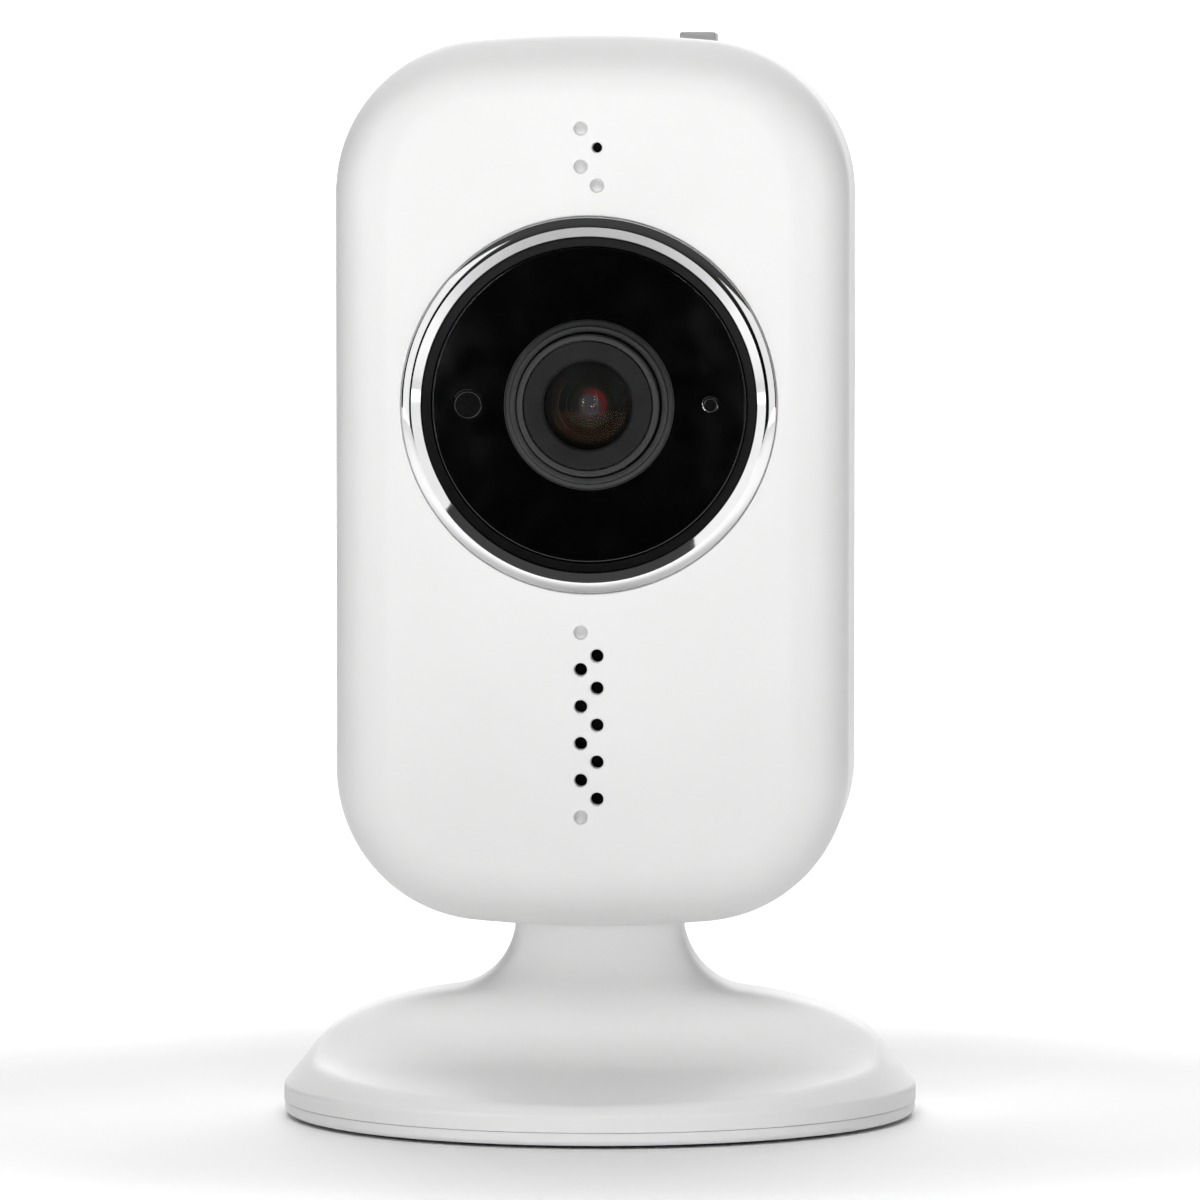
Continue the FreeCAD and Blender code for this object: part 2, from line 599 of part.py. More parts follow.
def wireless_module():
    carrier = box(-8, 8, BOARD_BACK, BOARD_BACK + 0.8, WIRELESS_Z - 6, WIRELESS_Z + 6)
    can = plate(7.2, 5.2, 0.6, BOARD_BACK + 0.8, BOARD_BACK + 2.4, 0, WIRELESS_Z)
    return carrier.fuse(can)


def power_parts():
    """Coils and capacitors of the supply, standing on the back of the board."""
    coils = [box(x - 2.2, x + 2.2, BOARD_BACK, BOARD_BACK + 2.4, z - 2.2, z + 2.2)
             for x, z in ((-8.5, 56.0), (9.0, 57.0))]
    cans = [cylinder_y(2.4, BOARD_BACK, BOARD_BACK + 4.8, x, z)
            for x, z in ((-15.5, 58.5), (-9.5, 64.0))]
    return group(coils + cans)


def connector_blocks():
    """White sockets for the speaker lead, the microphone lead and the flat cable."""
    blocks = [box(x - 2.5, x + 2.5, BOARD_FRONT - 3.0, BOARD_FRONT, z - 2, z + 2)
              for x, z in ((11.0, 62.0), (-10.5, 104.5))]
    blocks.append(box(-6, 6, BOARD_FRONT - 1.6, BOARD_FRONT, 68.0, 71.0))
    blocks.append(box(-6, 6, SENSOR_BOARD_BACK, SENSOR_BOARD_BACK + 2.2, 72.4, 75.4))
    return group(blocks)


def flat_cable():
    """Thin ribbon from the sensor board back to the main board."""
    thick = 0.3
    y0, y1, drop = SENSOR_BOARD_BACK + 1.8, BOARD_FRONT - 0.8, 64.5
    strips = [box(-5, 5, y0 - thick / 2, y0 + thick / 2, drop, 72.4),
              box(-5, 5, y0 - thick / 2, y1 + thick / 2, drop - thick, drop),
              box(-5, 5, y1 - thick / 2, y1 + thick / 2, drop, 68.0)]
    return fuse(strips)


def usb_socket():
    """Power inlet: a steel shell with a tongue, standing on the back of the board."""
    shell = plate(3.9, 1.5, 0.6, BOARD_BACK, HEAD_REAR - 1.1, 0, USB_Z)
    hollow = plate(3.5, 1.1, 0.4, BOARD_BACK + 1.0, HEAD_REAR, 0, USB_Z)
    tongue = box(-2.6, 2.6, BOARD_BACK + 1.0, HEAD_REAR - 2.0, USB_Z - 0.3, USB_Z + 0.3)
    return shell.cut(hollow).fuse(tongue)


def card_socket():
    """Memory card holder whose mouth faces the slot in the side wall."""
    body = box(10.5, 25.6, BOARD_FRONT - 2.0, BOARD_FRONT, CARD_Z - 7, CARD_Z + 7)
    return body.cut(box(11.5, 27.0, BOARD_FRONT - 1.6, BOARD_FRONT - 0.5, CARD_Z - 5.6, CARD_Z + 5.6))


SWITCH_TOP = 118.4
SWITCH_Y = 3.9
PLUNGER_TOP = SWITCH_TOP + 0.8
BUTTON_TOP = 128.25
FLANGE_TOP = 124.6         # the flange stays under the head's top wall


def button_switch():
    """Click switch under the top button, with a well for its plunger."""
    body = box(BUTTON_X - 3, BUTTON_X + 3, SWITCH_Y - 2.1, BOARD_FRONT, SWITCH_TOP - 3.6, SWITCH_TOP)
    return body.cut(cylinder_z(1.15, SWITCH_TOP - 1.4, SWITCH_TOP + 1, BUTTON_X, SWITCH_Y))


def switch_plunger():
    return cylinder_z(1.1, SWITCH_TOP - 0.7, PLUNGER_TOP, BUTTON_X, SWITCH_Y)


def top_button():
    """Push button: cap through the head's top wall, flange inside, stem down to the switch."""
    cap = post_box(0.65, BUTTON_X - BUTTON_HALF_X, BUTTON_X + BUTTON_HALF_X,
                   BUTTON_Y - BUTTON_HALF_Y, BUTTON_Y + BUTTON_HALF_Y, FLANGE_TOP - 0.6, BUTTON_TOP)
    rim = [e for e in cap.Edges if e.BoundBox.ZMin > BUTTON_TOP - TINY]
    cap = cap.makeFillet(0.3, rim)
    flange = box(BUTTON_X - 3.2, BUTTON_X + 3.2, BUTTON_Y - 4.0, BUTTON_Y + 4.0,
                 FLANGE_TOP - 1.0, FLANGE_TOP)
    stem = cylinder_z(1.3, PLUNGER_TOP, FLANGE_TOP - 0.6, BUTTON_X, SWITCH_Y)
    return fuse([cap, flange, stem])


# ---- sound ------------------------------------------------------------------------------------
def speaker_frame():
    """Pressed steel basket: front rim, sloping wall, and a floor that holds the magnet."""
    return lathe_y([(14.3, -18.7), (14.3, -17.9), (13.2, -17.9), (9.4, -13.4), (3.0, -13.4),
                    (3.0, -14.0), (9.1, -14.0), (12.4, -18.1), (12.4, -18.7)], 0, SPEAKER_Z)


def speaker_magnet():
    return lathe_y([(8.6, -13.4), (8.6, -10.6), (8.2, -10.2), (0, -10.2), (0, -13.4)], 0, SPEAKER_Z)


def speaker_cone():
    """Thin diaphragm with a domed middle and a rolled edge."""
    return lathe_y([(12.3, -18.7), (12.3, -18.45), (11.0, -18.3), (5.0, -15.6), (4.6, -15.6),
                    (4.6, -14.4), (4.2, -14.4), (4.2, -15.7), (2.5, -16.3), (0, -16.6),
                    (0, -16.9), (2.6, -16.6), (4.9, -15.9), (10.6, -18.6), (11.4, -18.9)],
                   0, SPEAKER_Z)


def speaker_gasket():
    return tube_y(14.4, 12.4, FRONT_INSIDE, -18.7, 0, SPEAKER_Z)


def microphone_boot():
    """Soft sleeve that seals the capsule against the front wall."""
    sleeve = cylinder_y(4.3, FRONT_INSIDE, -15.8, DOT_COLUMN, MIC_Z)
    room = cylinder_y(3.0, -19.0, -15.8, DOT_COLUMN, MIC_Z)
    sound_way = cylinder_y(0.8, FRONT_INSIDE, -18.0, DOT_COLUMN, MIC_Z)
    return cut(sleeve, [room, sound_way])


def microphone():
    can = cylinder_y(3.0, -19.0, -16.4, DOT_COLUMN, MIC_Z)
    return can.cut(cylinder_y(0.7, -19.5, -18.4, DOT_COLUMN, MIC_Z))


def signal_leads():
    """Thin leads from the speaker and the microphone to the sockets on the main board."""
    speaker = tube_along([(10.5, -15.8, 43.0), (13.6, -11.0, 44.0), (14.6, -4.0, 50.0),
                          (11.0, -0.5, 58.0), (11.0, 0.4, 62.0), (11.0, 3.0, 62.0)], 0.6)
    from_capsule = tube_along([(DOT_COLUMN, -16.4, MIC_Z), (DOT_COLUMN, -13.2, MIC_Z),
                               (-4.0, -8.5, 112.0), (-10.5, -4.0, 108.0), (-10.5, 0.2, 104.5),
                               (-10.5, 3.0, 104.5)], 0.6)
    return group([speaker, from_capsule])


def antenna():
    """Thin strip on the inside of the left wall, with its feed pad."""
    return box(-27.9, -27.5, -1.0, 6.2, 64.0, 98.0)


def antenna_lead():
    return tube_along([(-26.95, 4.0, 93.5), (-26.2, 4.3, 101.0), (-23.5, 5.2, 106.5),
                       (-16.5, 9.5, 108.5), (-11.0, 9.0, 110.5), (-7.2, 9.0, 110.5)], 0.55)


# ---- tilt hinge -------------------------------------------------------------------------------
CRADLE_INNER = 10.5
CRADLE_OUTER = 13.0
ROOF_INNER, ROOF_OUTER = 6.8, 8.3
ROOF_REAR_ANGLE, ROOF_FRONT_ANGLE = 31, 21     # where the curved roof stops, above the pin's level


def roof_wedge(angle, sign):
    """Everything below a line through the pin that rises at an angle on one side."""
    wedge = box(-30, 30, 0, 30, -40, 0)
    wedge.rotate(V(0, 0, 0), X_AXIS, angle)
    if sign < 0:
        wedge = wedge.mirror(V(0, 0, 0), Y_AXIS)
    wedge.translate(V(0, 0, HINGE_Z))
    return wedge


def hinge_cradle():
    """Bracket that holds the pin: two cheeks, a curved roof over the knuckle, two fixing tabs."""
    roof = cylinder_x(ROOF_OUTER, -CRADLE_OUTER, CRADLE_OUTER, 0, HINGE_Z)
    roof = roof.cut(cylinder_x(ROOF_INNER, -CRADLE_INNER, CRADLE_INNER, 0, HINGE_Z))
    below = box(-CRADLE_INNER, CRADLE_INNER, -9, 9, HINGE_Z - 9, HINGE_Z)
    between = box(-CRADLE_INNER, CRADLE_INNER, -20, 20, 0, 60)
    roof = cut(roof, [below, roof_wedge(ROOF_REAR_ANGLE, 1).common(between),
                      roof_wedge(ROOF_FRONT_ANGLE, -1).common(between)])
    roof = roof.cut(box(-30, 30, -20, 20, 0, HINGE_Z - 4.2))
    tabs, holes = [], [cylinder_x(PIN_RADIUS, -20, 20, 0, HINGE_Z)]
    for x, z in CRADLE_SCREWS:
        side = math.copysign(1, x)
        low, high = sorted((side * (CRADLE_INNER + 0.2), side * 19.0))
        tabs.append(box(low, high, CRADLE_TAB_FRONT, 9.5, z - 2.8, z + 2.8))
        low, high = sorted((side * (CRADLE_INNER + 0.2), side * CRADLE_OUTER))
        tabs.append(box(low, high, 0.0, 9.5, z - 2.8, z + 2.2))
        holes.append(cylinder_y(1.15, 6, 11, x, z))
    return cut(fuse([roof] + tabs), holes)


def hinge_pin():
    """Steel pin with a broad head at one end and a riveted collar at the other."""
    shaft = cylinder_x(PIN_RADIUS, -CRADLE_OUTER - 0.9, CRADLE_OUTER + 0.9, 0, HINGE_Z)
    head = cylinder_x(2.8, CRADLE_OUTER, CRADLE_OUTER + 1.4, 0, HINGE_Z)
    collar = cylinder_x(2.2, -CRADLE_OUTER - 0.9, -CRADLE_OUTER, 0, HINGE_Z)
    return fuse([shaft, head, collar])


def friction_washers():
    """Spring washers between the knuckle's ends and the cheeks."""
    inner, outer = PIN_RADIUS + RUNNING_GAP, 4.6
    rings = []
    thickness = CRADLE_INNER - NECK_HALF_WIDTH - 0.08
    for x0 in (CRADLE_INNER - thickness, -CRADLE_INNER):
        x1 = x0 + thickness
        rings.append(cylinder_x(outer, x0, x1, 0, HINGE_Z).cut(
            cylinder_x(inner, x0, x1, 0, HINGE_Z)))
    return group(rings)


# ---- stand ------------------------------------------------------------------------------------
NECK_ARC = 8.6             # concave sweep from the neck out to the shoulder, seen from the front
NECK_ARC_X = NECK_HALF_WIDTH + NECK_ARC
NECK_ARC_Z = 23.7
SHOULDER_Z = 15.23
DOME_HALF_WIDTH, DOME_BASE, DOME_RISE, DOME_POWER = 34.6, 4.0, 12.0, 2.6
RIDGE_SIDE_Z = 9.2         # height where the dome meets the chamfer at left and right
SWEEP_ARC = 11.0           # concave sweep from the neck down to the front shelf, seen from the side
SHELF_SLOPE = math.radians(5.5)
SHELF_AT_20 = 6.5          # height of the shelf 20 mm from the centre


def dome_reach(z):
    """Half width of the dome at a height: one quarter of a superellipse."""
    rise = (z - DOME_BASE) / DOME_RISE
    return DOME_HALF_WIDTH * (1 - rise ** DOME_POWER) ** (1 / DOME_POWER)


def side_reach(z):
    """Half width of the stand's top surface at a height, seen from the front."""
    if z > SHOULDER_Z:
        drop = max(NECK_ARC_Z - z, 0.0)
        return NECK_ARC_X - math.sqrt(NECK_ARC ** 2 - drop ** 2)
    if z > RIDGE_SIDE_Z:
        return dome_reach(z)
    return dome_reach(RIDGE_SIDE_Z) + 1.5 * (RIDGE_SIDE_Z - z)


def front_reach(z):
    """Half depth of the stand's top surface at a height, seen from the side."""
    arc_y = NECK_HALF_DEPTH + SWEEP_ARC
    meet_y = arc_y - SWEEP_ARC * math.sin(SHELF_SLOPE)
    meet_z = SHELF_AT_20 + (20.0 - meet_y) * math.tan(SHELF_SLOPE)
    arc_z = meet_z + SWEEP_ARC * math.cos(SHELF_SLOPE)
    if z >= arc_z:
        return NECK_HALF_DEPTH
    if z > meet_z:
        return arc_y - math.sqrt(SWEEP_ARC ** 2 - (arc_z - z) ** 2)
    return meet_y + (meet_z - z) / math.tan(SHELF_SLOPE)


def level_outline(z, inset, drop):
    """Closed curve round the stand at a height: a rounded rectangle that squares up lower down."""
    half_x, half_y = side_reach(z) - inset, front_reach(z) - inset
    power = 4.0 + 2.0 * max(0.0, min(1.0, (7.5 - z) / 2.0))
    points = []
    for i in range(40):
        angle = 2 * math.pi * (i + 0.5) / 40
        c, s = math.cos(angle), math.sin(angle)
        scale = (abs(c) ** power + abs(s) ** power) ** (-1 / power)
        points.append(V(half_x * c * scale, half_y * s * scale, z - drop))
    curve = Part.BSplineCurve()
    curve.interpolate(Points=points, PeriodicFlag=True)
    return Part.Wire(curve.toShape())


LEVELS = (24.6, 22.4, 20.2, 18.2, 16.6, 15.4, 14.4, 13.2, 11.6, 9.8, 8.4, 7.4, 6.5, 5.6, 4.9, 4.3)


def flare(inset, drop, top_level):
    """The stand's top as one smooth body through its levels, before the rim trims it."""
    wires = [level_outline(z, inset, drop) for z in LEVELS if z <= top_level]
    skirt = Part.Face(wires[-1]).extrude(V(0, 0, -3))
    return Part.makeLoft(wires, True, False, False).fuse(skirt)


def rim_body(inset, bottom):
    """Round rim: an upright wall, then a chamfer that would rise to a point on the axis."""
    radius = STAND_RADIUS - inset
    top = STAND_WALL_TOP - 0.5 * inset
    return lathe_z([(0, bottom), (radius - 0.1, bottom), (radius, bottom + 0.1), (radius, top),
                    (0, top + radius * CHAMFER_SLOPE)])


COVER_SCREWS = [(sx * 27.0, sy * 6.5) for sx in (-1, 1) for sy in (-1, 1)]
COVER_GAP = 0.08           # gap between the floor plate and the rim above it
BUSH_RADIUS, BUSH_LENGTH = 2.6, 6.0
FOOT_OUTER, FOOT_INNER, FOOT_TOP = 35.6, 31.4, 1.0


def stand_shell():
    """Rim, flared top, flat neck and hinge knuckle in one moulding, hollow underneath."""
    outside = flare(0, 0, 30).common(rim_body(0, COVER_TOP + COVER_GAP))
    neck = Part.Face(level_outline(LEVELS[0], 0, 0)).extrude(V(0, 0, 15))
    knuckle = cylinder_x(NECK_HALF_DEPTH, -12, 12, 0, HINGE_Z)
    upright = box(-12, 12, -NECK_HALF_DEPTH, NECK_HALF_DEPTH, 20, HINGE_Z)
    outside = outside.fuse(neck.common(knuckle.fuse(upright)))
    hollow = flare(STAND_WALL, STAND_WALL, 18.3).common(rim_body(STAND_WALL, COVER_TOP - 1))
    bosses = [cylinder_z(2.7, COVER_TOP + COVER_GAP, 12, x, y).common(outside) for x, y in COVER_SCREWS]
    shell = fuse([outside.cut(hollow)] + bosses)
    tools = [cylinder_z(1.1, 0, 8.6, x, y) for x, y in COVER_SCREWS]
    tools.append(cylinder_x(BUSH_RADIUS, -12, 12, 0, HINGE_Z))
    return cut(shell, tools)


def hinge_bushes():
    """Plain sleeves pressed into both ends of the knuckle's bore."""
    inner = PIN_RADIUS + RUNNING_GAP
    sleeves = []
    for x0 in (-NECK_HALF_WIDTH, NECK_HALF_WIDTH - BUSH_LENGTH):
        sleeve = cylinder_x(BUSH_RADIUS, x0, x0 + BUSH_LENGTH, 0, HINGE_Z)
        sleeves.append(sleeve.cut(cylinder_x(inner, x0, x0 + BUSH_LENGTH, 0, HINGE_Z)))
    return group(sleeves)


def stand_cover():
    """Round floor plate that closes the stand, with a locating lip and a groove for the foot."""
    radius = STAND_RADIUS - 0.1
    disc = lathe_z([(0, COVER_BOTTOM), (radius - 0.5, COVER_BOTTOM), (radius - 0.15, COVER_BOTTOM + 0.5),
                    (radius, COVER_TOP), (0, COVER_TOP)])
    lip_outer = STAND_RADIUS - STAND_WALL - 0.15
    lip = cylinder_z(lip_outer, COVER_TOP - 0.1, COVER_TOP + 0.6)
    lip = lip.cut(cylinder_z(lip_outer - 1.0, COVER_TOP - 0.2, COVER_TOP + 0.7))
    groove = cylinder_z(FOOT_OUTER, 0, FOOT_TOP).cut(cylinder_z(FOOT_INNER, 0, FOOT_TOP))
    tools = [groove]
    for x, y in COVER_SCREWS:
        tools.append(cylinder_z(1.15, 0, 4, x, y))
        tools.append(cylinder_z(2.25, 0, COVER_BOTTOM + 0.9, x, y))
    return cut(disc.fuse(lip), tools)


def foot_ring():
    """Soft ring that the camera stands on."""
    ring = cylinder_z(FOOT_OUTER, 0, FOOT_TOP).cut(cylinder_z(FOOT_INNER, 0, FOOT_TOP))
    rims = [e for e in ring.Edges if e.BoundBox.ZMax < TINY]
    return ring.makeFillet(0.25, rims)


def cover_screws():
    one = screw(1.1, 2.1, 0.8, 6.4)
    return group(placed(one, x, y, COVER_BOTTOM + 0.9, DOWN) for x, y in COVER_SCREWS)


def ballast_plate():
    """Steel slab that keeps the stand down."""
    return post_box(5.0, -21.5, 21.5, -9.0, 9.0, COVER_TOP, 5.6)


PARTS = [
    front_casing, rear_casing, casing_screws, rating_label,
    bezel_ring, lens_bezel, window_panel, light_sensor_window, status_light_window,
    lens_shroud, lens_barrel, lens_retaining_ring, lens_front_glass, lens_spacers,
    lens_middle_glass, lens_rear_glass, lens_holder,
    filter_housing, filter_coil, filter_slider, filter_glasses, filter_magnet,
    image_sensor, sensor_board, inner_screws,
    night_light_board, night_lights, light_sensor, status_light,
    main_board, processor, heat_spreader, memory_chips, wireless_module,
    power_parts, connector_blocks, flat_cable, usb_socket, card_socket,
    button_switch, switch_plunger, top_button,
    speaker_frame, speaker_magnet, speaker_cone, speaker_gasket,
    microphone_boot, microphone, signal_leads, antenna, antenna_lead,
    hinge_cradle, hinge_pin, friction_washers,
    stand_shell, hinge_bushes, stand_cover, foot_ring, cover_screws, ballast_plate,
]


def main():
    os.makedirs("parts", exist_ok=True)
    for make in PARTS:
        shape = make()
        if not shape.isValid():
            print("not valid:", make.__name__)
        shape.exportStep(os.path.join("parts", make.__name__ + ".step"))
        print(f"{make.__name__:22s} solids {len(shape.Solids)}  volume {shape.Volume:10.1f}")


main()
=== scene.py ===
import json
import math

import bmesh
import bpy
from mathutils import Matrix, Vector


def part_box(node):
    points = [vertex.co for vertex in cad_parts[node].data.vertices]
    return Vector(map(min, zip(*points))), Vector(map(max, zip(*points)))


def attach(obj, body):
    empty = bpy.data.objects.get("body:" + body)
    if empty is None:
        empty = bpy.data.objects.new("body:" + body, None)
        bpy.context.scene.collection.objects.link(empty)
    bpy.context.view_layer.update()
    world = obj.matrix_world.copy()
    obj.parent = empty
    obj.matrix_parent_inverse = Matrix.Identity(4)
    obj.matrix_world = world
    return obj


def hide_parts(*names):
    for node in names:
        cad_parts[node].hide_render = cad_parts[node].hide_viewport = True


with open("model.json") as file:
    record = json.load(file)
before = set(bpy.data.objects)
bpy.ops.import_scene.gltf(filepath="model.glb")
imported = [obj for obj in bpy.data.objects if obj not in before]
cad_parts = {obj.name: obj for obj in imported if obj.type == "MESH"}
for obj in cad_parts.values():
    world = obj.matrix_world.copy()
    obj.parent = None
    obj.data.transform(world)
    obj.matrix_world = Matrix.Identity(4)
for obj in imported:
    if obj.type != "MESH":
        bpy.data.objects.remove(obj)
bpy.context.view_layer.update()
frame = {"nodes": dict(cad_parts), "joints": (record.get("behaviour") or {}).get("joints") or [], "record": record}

bpy.ops.object.select_all(action="DESELECT")

MM = 0.001
TAU = 2 * math.pi

# ---- sizes in millimetres, as in the frame -------------------------------------------------
FINE, ROUND, SMALL = 256, 192, 32     # steps round a bright ring, a wide body and a small hole
HEAD_LOW, HEAD_HIGH = (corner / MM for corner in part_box("front_casing"))
HEAD_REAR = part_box("rear_casing")[1].y / MM
HEAD_FRONT = HEAD_LOW.y
HEAD_WIDTH, HEAD_HEIGHT = 60.0, 104.0
HEAD_MIDDLE = 75.7
CROWN_RADIUS, CORNER_RADIUS = 153.8, 17.8
FRONT_ROUND, REAR_ROUND = 7.0, 9.0
PARTING, SEAM = -3.0, 0.2
WALL = 2.0
RING_Z = (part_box("bezel_ring")[0].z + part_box("bezel_ring")[1].z) / 2 / MM
WINDOW_FRONT, LENS_FRONT = HEAD_FRONT + 0.75, HEAD_FRONT - 2.0
PLUG_X = 14.08                        # middle of each small window, left and right of the lens
MIDDLE_GLASS_RADIUS = 4.2
DOT_COLUMN = 0.95                     # the dots stand this far left and right of the middle
SPEAKER_DROP, SPEAKER_PITCH, SPEAKER_DOTS = 26.4, 2.15, 11
SECOND_DOT_DROP = 0.55                # the first open speaker dot sits a little lower
MIC_RISE, MIC_PITCH, MIC_DOTS = 32.0, 2.2, 4
STAND_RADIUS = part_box("stand_shell")[1].x / MM
HINGE_Z = frame["joints"][0]["pos_m"][2] / MM


# ---- working at the bench: edit mode, rings, cuts ------------------------------------------
def clear_selection():
    if bpy.context.object and bpy.context.object.mode == "EDIT":
        bpy.ops.object.mode_set(mode="OBJECT")
    bpy.ops.object.select_all(action="DESELECT")


def pick(piece):
    """Selects one piece alone and makes it the active one."""
    clear_selection()
    piece.select_set(True)
    bpy.context.view_layer.objects.active = piece


def start_ring(name, count, place):
    """Begins a piece with a closed wire; place says where its k-th point is, in millimetres."""
    clear_selection()
    bpy.ops.mesh.primitive_circle_add(vertices=count, radius=1.0, fill_type="NOTHING")
    piece = bpy.context.object
    piece.name = piece.data.name = name
    for k, vertex in enumerate(piece.data.vertices):
        vertex.co = Vector(place(k)) * MM
    bpy.ops.object.mode_set(mode="EDIT")
    bpy.ops.mesh.select_all(action="SELECT")
    return piece


def next_ring(piece, move):
    """Extrudes the selected ring and sends each of its points, in millimetres, where move says."""
    bpy.ops.mesh.extrude_region()
    mesh = bmesh.from_edit_mesh(piece.data)
    for vertex in mesh.verts:
        if vertex.select:
            vertex.co = Vector(move(vertex.co / MM)) * MM
    bmesh.update_edit_mesh(piece.data)


def close_ring():
    """Fills the selected ring with one flat face."""
    bpy.ops.mesh.edge_face_add()


def finish_edit(piece, merge=0.002):
    """Joins points closer than merge, in millimetres, turns faces outward, leaves edit mode."""
    bpy.ops.mesh.select_all(action="SELECT")
    bpy.ops.mesh.remove_doubles(threshold=merge * MM)
    bpy.ops.mesh.normals_make_consistent(inside=False)
    bpy.ops.object.mode_set(mode="OBJECT")
    return piece


def modify(piece, kind, **settings):
    """Adds a modifier and applies it at once."""
    pick(piece)
    modifier = piece.modifiers.new(kind.lower(), kind)
    for key, value in settings.items():
        setattr(modifier, key, value)
    bpy.ops.object.modifier_apply(modifier=modifier.name)
    return piece


def smooth(piece, angle):
    """Shades smooth, with edges sharper than the angle, in degrees, kept crisp."""
    pick(piece)
    bpy.ops.object.shade_smooth_by_angle(angle=math.radians(angle))
    modify(piece, "WEIGHTED_NORMAL", mode="FACE_AREA", weight=60, keep_sharp=True)
    return piece


def join(pieces, name):
    """Makes one piece of several, under a new name."""
    clear_selection()
    for piece in pieces:
        piece.select_set(True)
    bpy.context.view_layer.objects.active = pieces[0]
    bpy.ops.object.join()
    pieces[0].name = pieces[0].data.name = name
    return pieces[0]


def carve(piece, cutter):
    """Takes the cutter's shape out of the piece and throws the cutter away."""
    modify(piece, "BOOLEAN", operation="DIFFERENCE", object=cutter, solver="EXACT")
    bpy.data.objects.remove(cutter)
    return piece


def round_edges(piece, width):
    """Rounds every edge that turns by more than 30 degrees."""
    return modify(piece, "BEVEL", width=width * MM, segments=4, limit_method="ANGLE",
                  angle_limit=math.radians(30), use_clamp_overlap=True)


def turned(name, outline, x=0.0, z=RING_Z, steps=ROUND):
    """Turns a closed outline of (radius, y) points about a line along Y."""
    piece = start_ring(name, len(outline), lambda k: (outline[k][0], outline[k][1], 0.0))
    bpy.ops.mesh.spin(steps=steps, angle=TAU, center=(0, 0, 0), axis=(0, 1, 0))
    bpy.ops.mesh.select_all(action="SELECT")
    bpy.ops.transform.translate(value=(x * MM, 0, z * MM))
    return finish_edit(piece)


def upright(name, outline, steps=ROUND):
    """Turns a closed outline of (radius, z) points about the Z axis."""
    piece = start_ring(name, len(outline), lambda k: (outline[k][0], 0.0, outline[k][1]))
    bpy.ops.mesh.spin(steps=steps, angle=TAU, center=(0, 0, 0), axis=(0, 0, 1))
    return finish_edit(piece)


def block(name, low, high, corner, along="Y"):
    """A block between two corners in millimetres, with its edges along one axis rounded."""
    clear_selection()
    middle = [(a + b) / 2 * MM for a, b in zip(low, high)]
    size = [(b - a) * MM for a, b in zip(low, high)]
    bpy.ops.mesh.primitive_cube_add(size=1.0, location=middle, scale=size)
    piece = bpy.context.object
    piece.name = piece.data.name = name
    bpy.ops.object.transform_apply(location=True, rotation=True, scale=True)
    bpy.ops.object.mode_set(mode="EDIT")
    bpy.ops.mesh.select_all(action="DESELECT")
    axis = "XYZ".index(along)
    mesh = bmesh.from_edit_mesh(piece.data)
    for edge in mesh.edges:
        run = edge.verts[0].co - edge.verts[1].co
        edge.select = abs(run[axis]) > 0.5 * size[axis]
    bmesh.update_edit_mesh(piece.data)
    bpy.ops.mesh.bevel(offset=corner * MM, segments=6, affect="EDGES")
    return finish_edit(piece)


def arc(cx, cy, radius, start, end, steps):
    """Points on an arc from one angle to another, in degrees."""
    angles = [math.radians(start + (end - start) * k / steps) for k in range(steps + 1)]
    return [(cx + radius * math.cos(a), cy + radius * math.sin(a)) for a in angles]


# ---- finishes ------------------------------------------------------------------------------
def finish_named(name):
    """A new material with its shader and its object coordinates."""
    material = bpy.data.materials.new(name)
    material.use_nodes = True
    nodes, links = material.node_tree.nodes, material.node_tree.links
    shader = nodes["Principled BSDF"]
    place = nodes.new("ShaderNodeTexCoord").outputs["Object"]
    return material, nodes, links, shader, place


def grain(nodes, links, place, scale, detail=3.0):
    """Soft cloudy noise, about 0.3 to 0.7, with the given number of spots to a metre."""
    noise = nodes.new("ShaderNodeTexNoise")
    noise.inputs["Scale"].default_value = scale
    noise.inputs["Detail"].default_value = detail
    links.new(place, noise.inputs["Vector"])
    return noise.outputs["Fac"]


def spread(nodes, links, value, low, high, start=0.3, end=0.7):
    """Maps a grain's middle range onto a range of values."""
    ramp = nodes.new("ShaderNodeMapRange")
    ramp.inputs["From Min"].default_value = start
    ramp.inputs["From Max"].default_value = end
    ramp.inputs["To Min"].default_value = low
    ramp.inputs["To Max"].default_value = high
    links.new(value, ramp.inputs["Value"])
    return ramp.outputs["Result"]


def blend_colours(nodes, links, value, one, other):
    """Goes from one colour to the other as the value goes from 0 to 1."""
    mix = nodes.new("ShaderNodeMix")
    mix.data_type = "RGBA"
    mix.inputs["A"].default_value = (*one, 1)
    mix.inputs["B"].default_value = (*other, 1)
    links.new(value, mix.inputs["Factor"])
    return mix.outputs["Result"]


def raise_grain(nodes, links, shader, height, strength, distance):
    """Uses a value as a fine relief of the surface, its depth in millimetres."""
    bump = nodes.new("ShaderNodeBump")
    bump.inputs["Strength"].default_value = strength
    bump.inputs["Distance"].default_value = distance * MM
    links.new(height, bump.inputs["Height"])
    links.new(bump.outputs["Normal"], shader.inputs["Normal"])


def plain_finish(name, colour, other, rough, coarse, fine, relief, **sockets):
    """Two close colours in soft patches, uneven gloss and a fine raised grain."""
    material, nodes, links, shader, place = finish_named(name)
    patches = grain(nodes, links, place, coarse)
    links.new(blend_colours(nodes, links, spread(nodes, links, patches, 0, 1), colour, other),
              shader.inputs["Base Color"])
    links.new(spread(nodes, links, grain(nodes, links, place, coarse * 2.3), *rough),
              shader.inputs["Roughness"])
    raise_grain(nodes, links, shader, grain(nodes, links, place, fine, 2.0), *relief)
    for socket, value in sockets.items():
        shader.inputs[socket.replace("_", " ")].default_value = value
    return material


def satin_white():
    return plain_finish("satin_white_plastic", (0.74, 0.74, 0.737), (0.72, 0.72, 0.717),
                        (0.34, 0.42), 45, 4200, (0.10, 0.02))


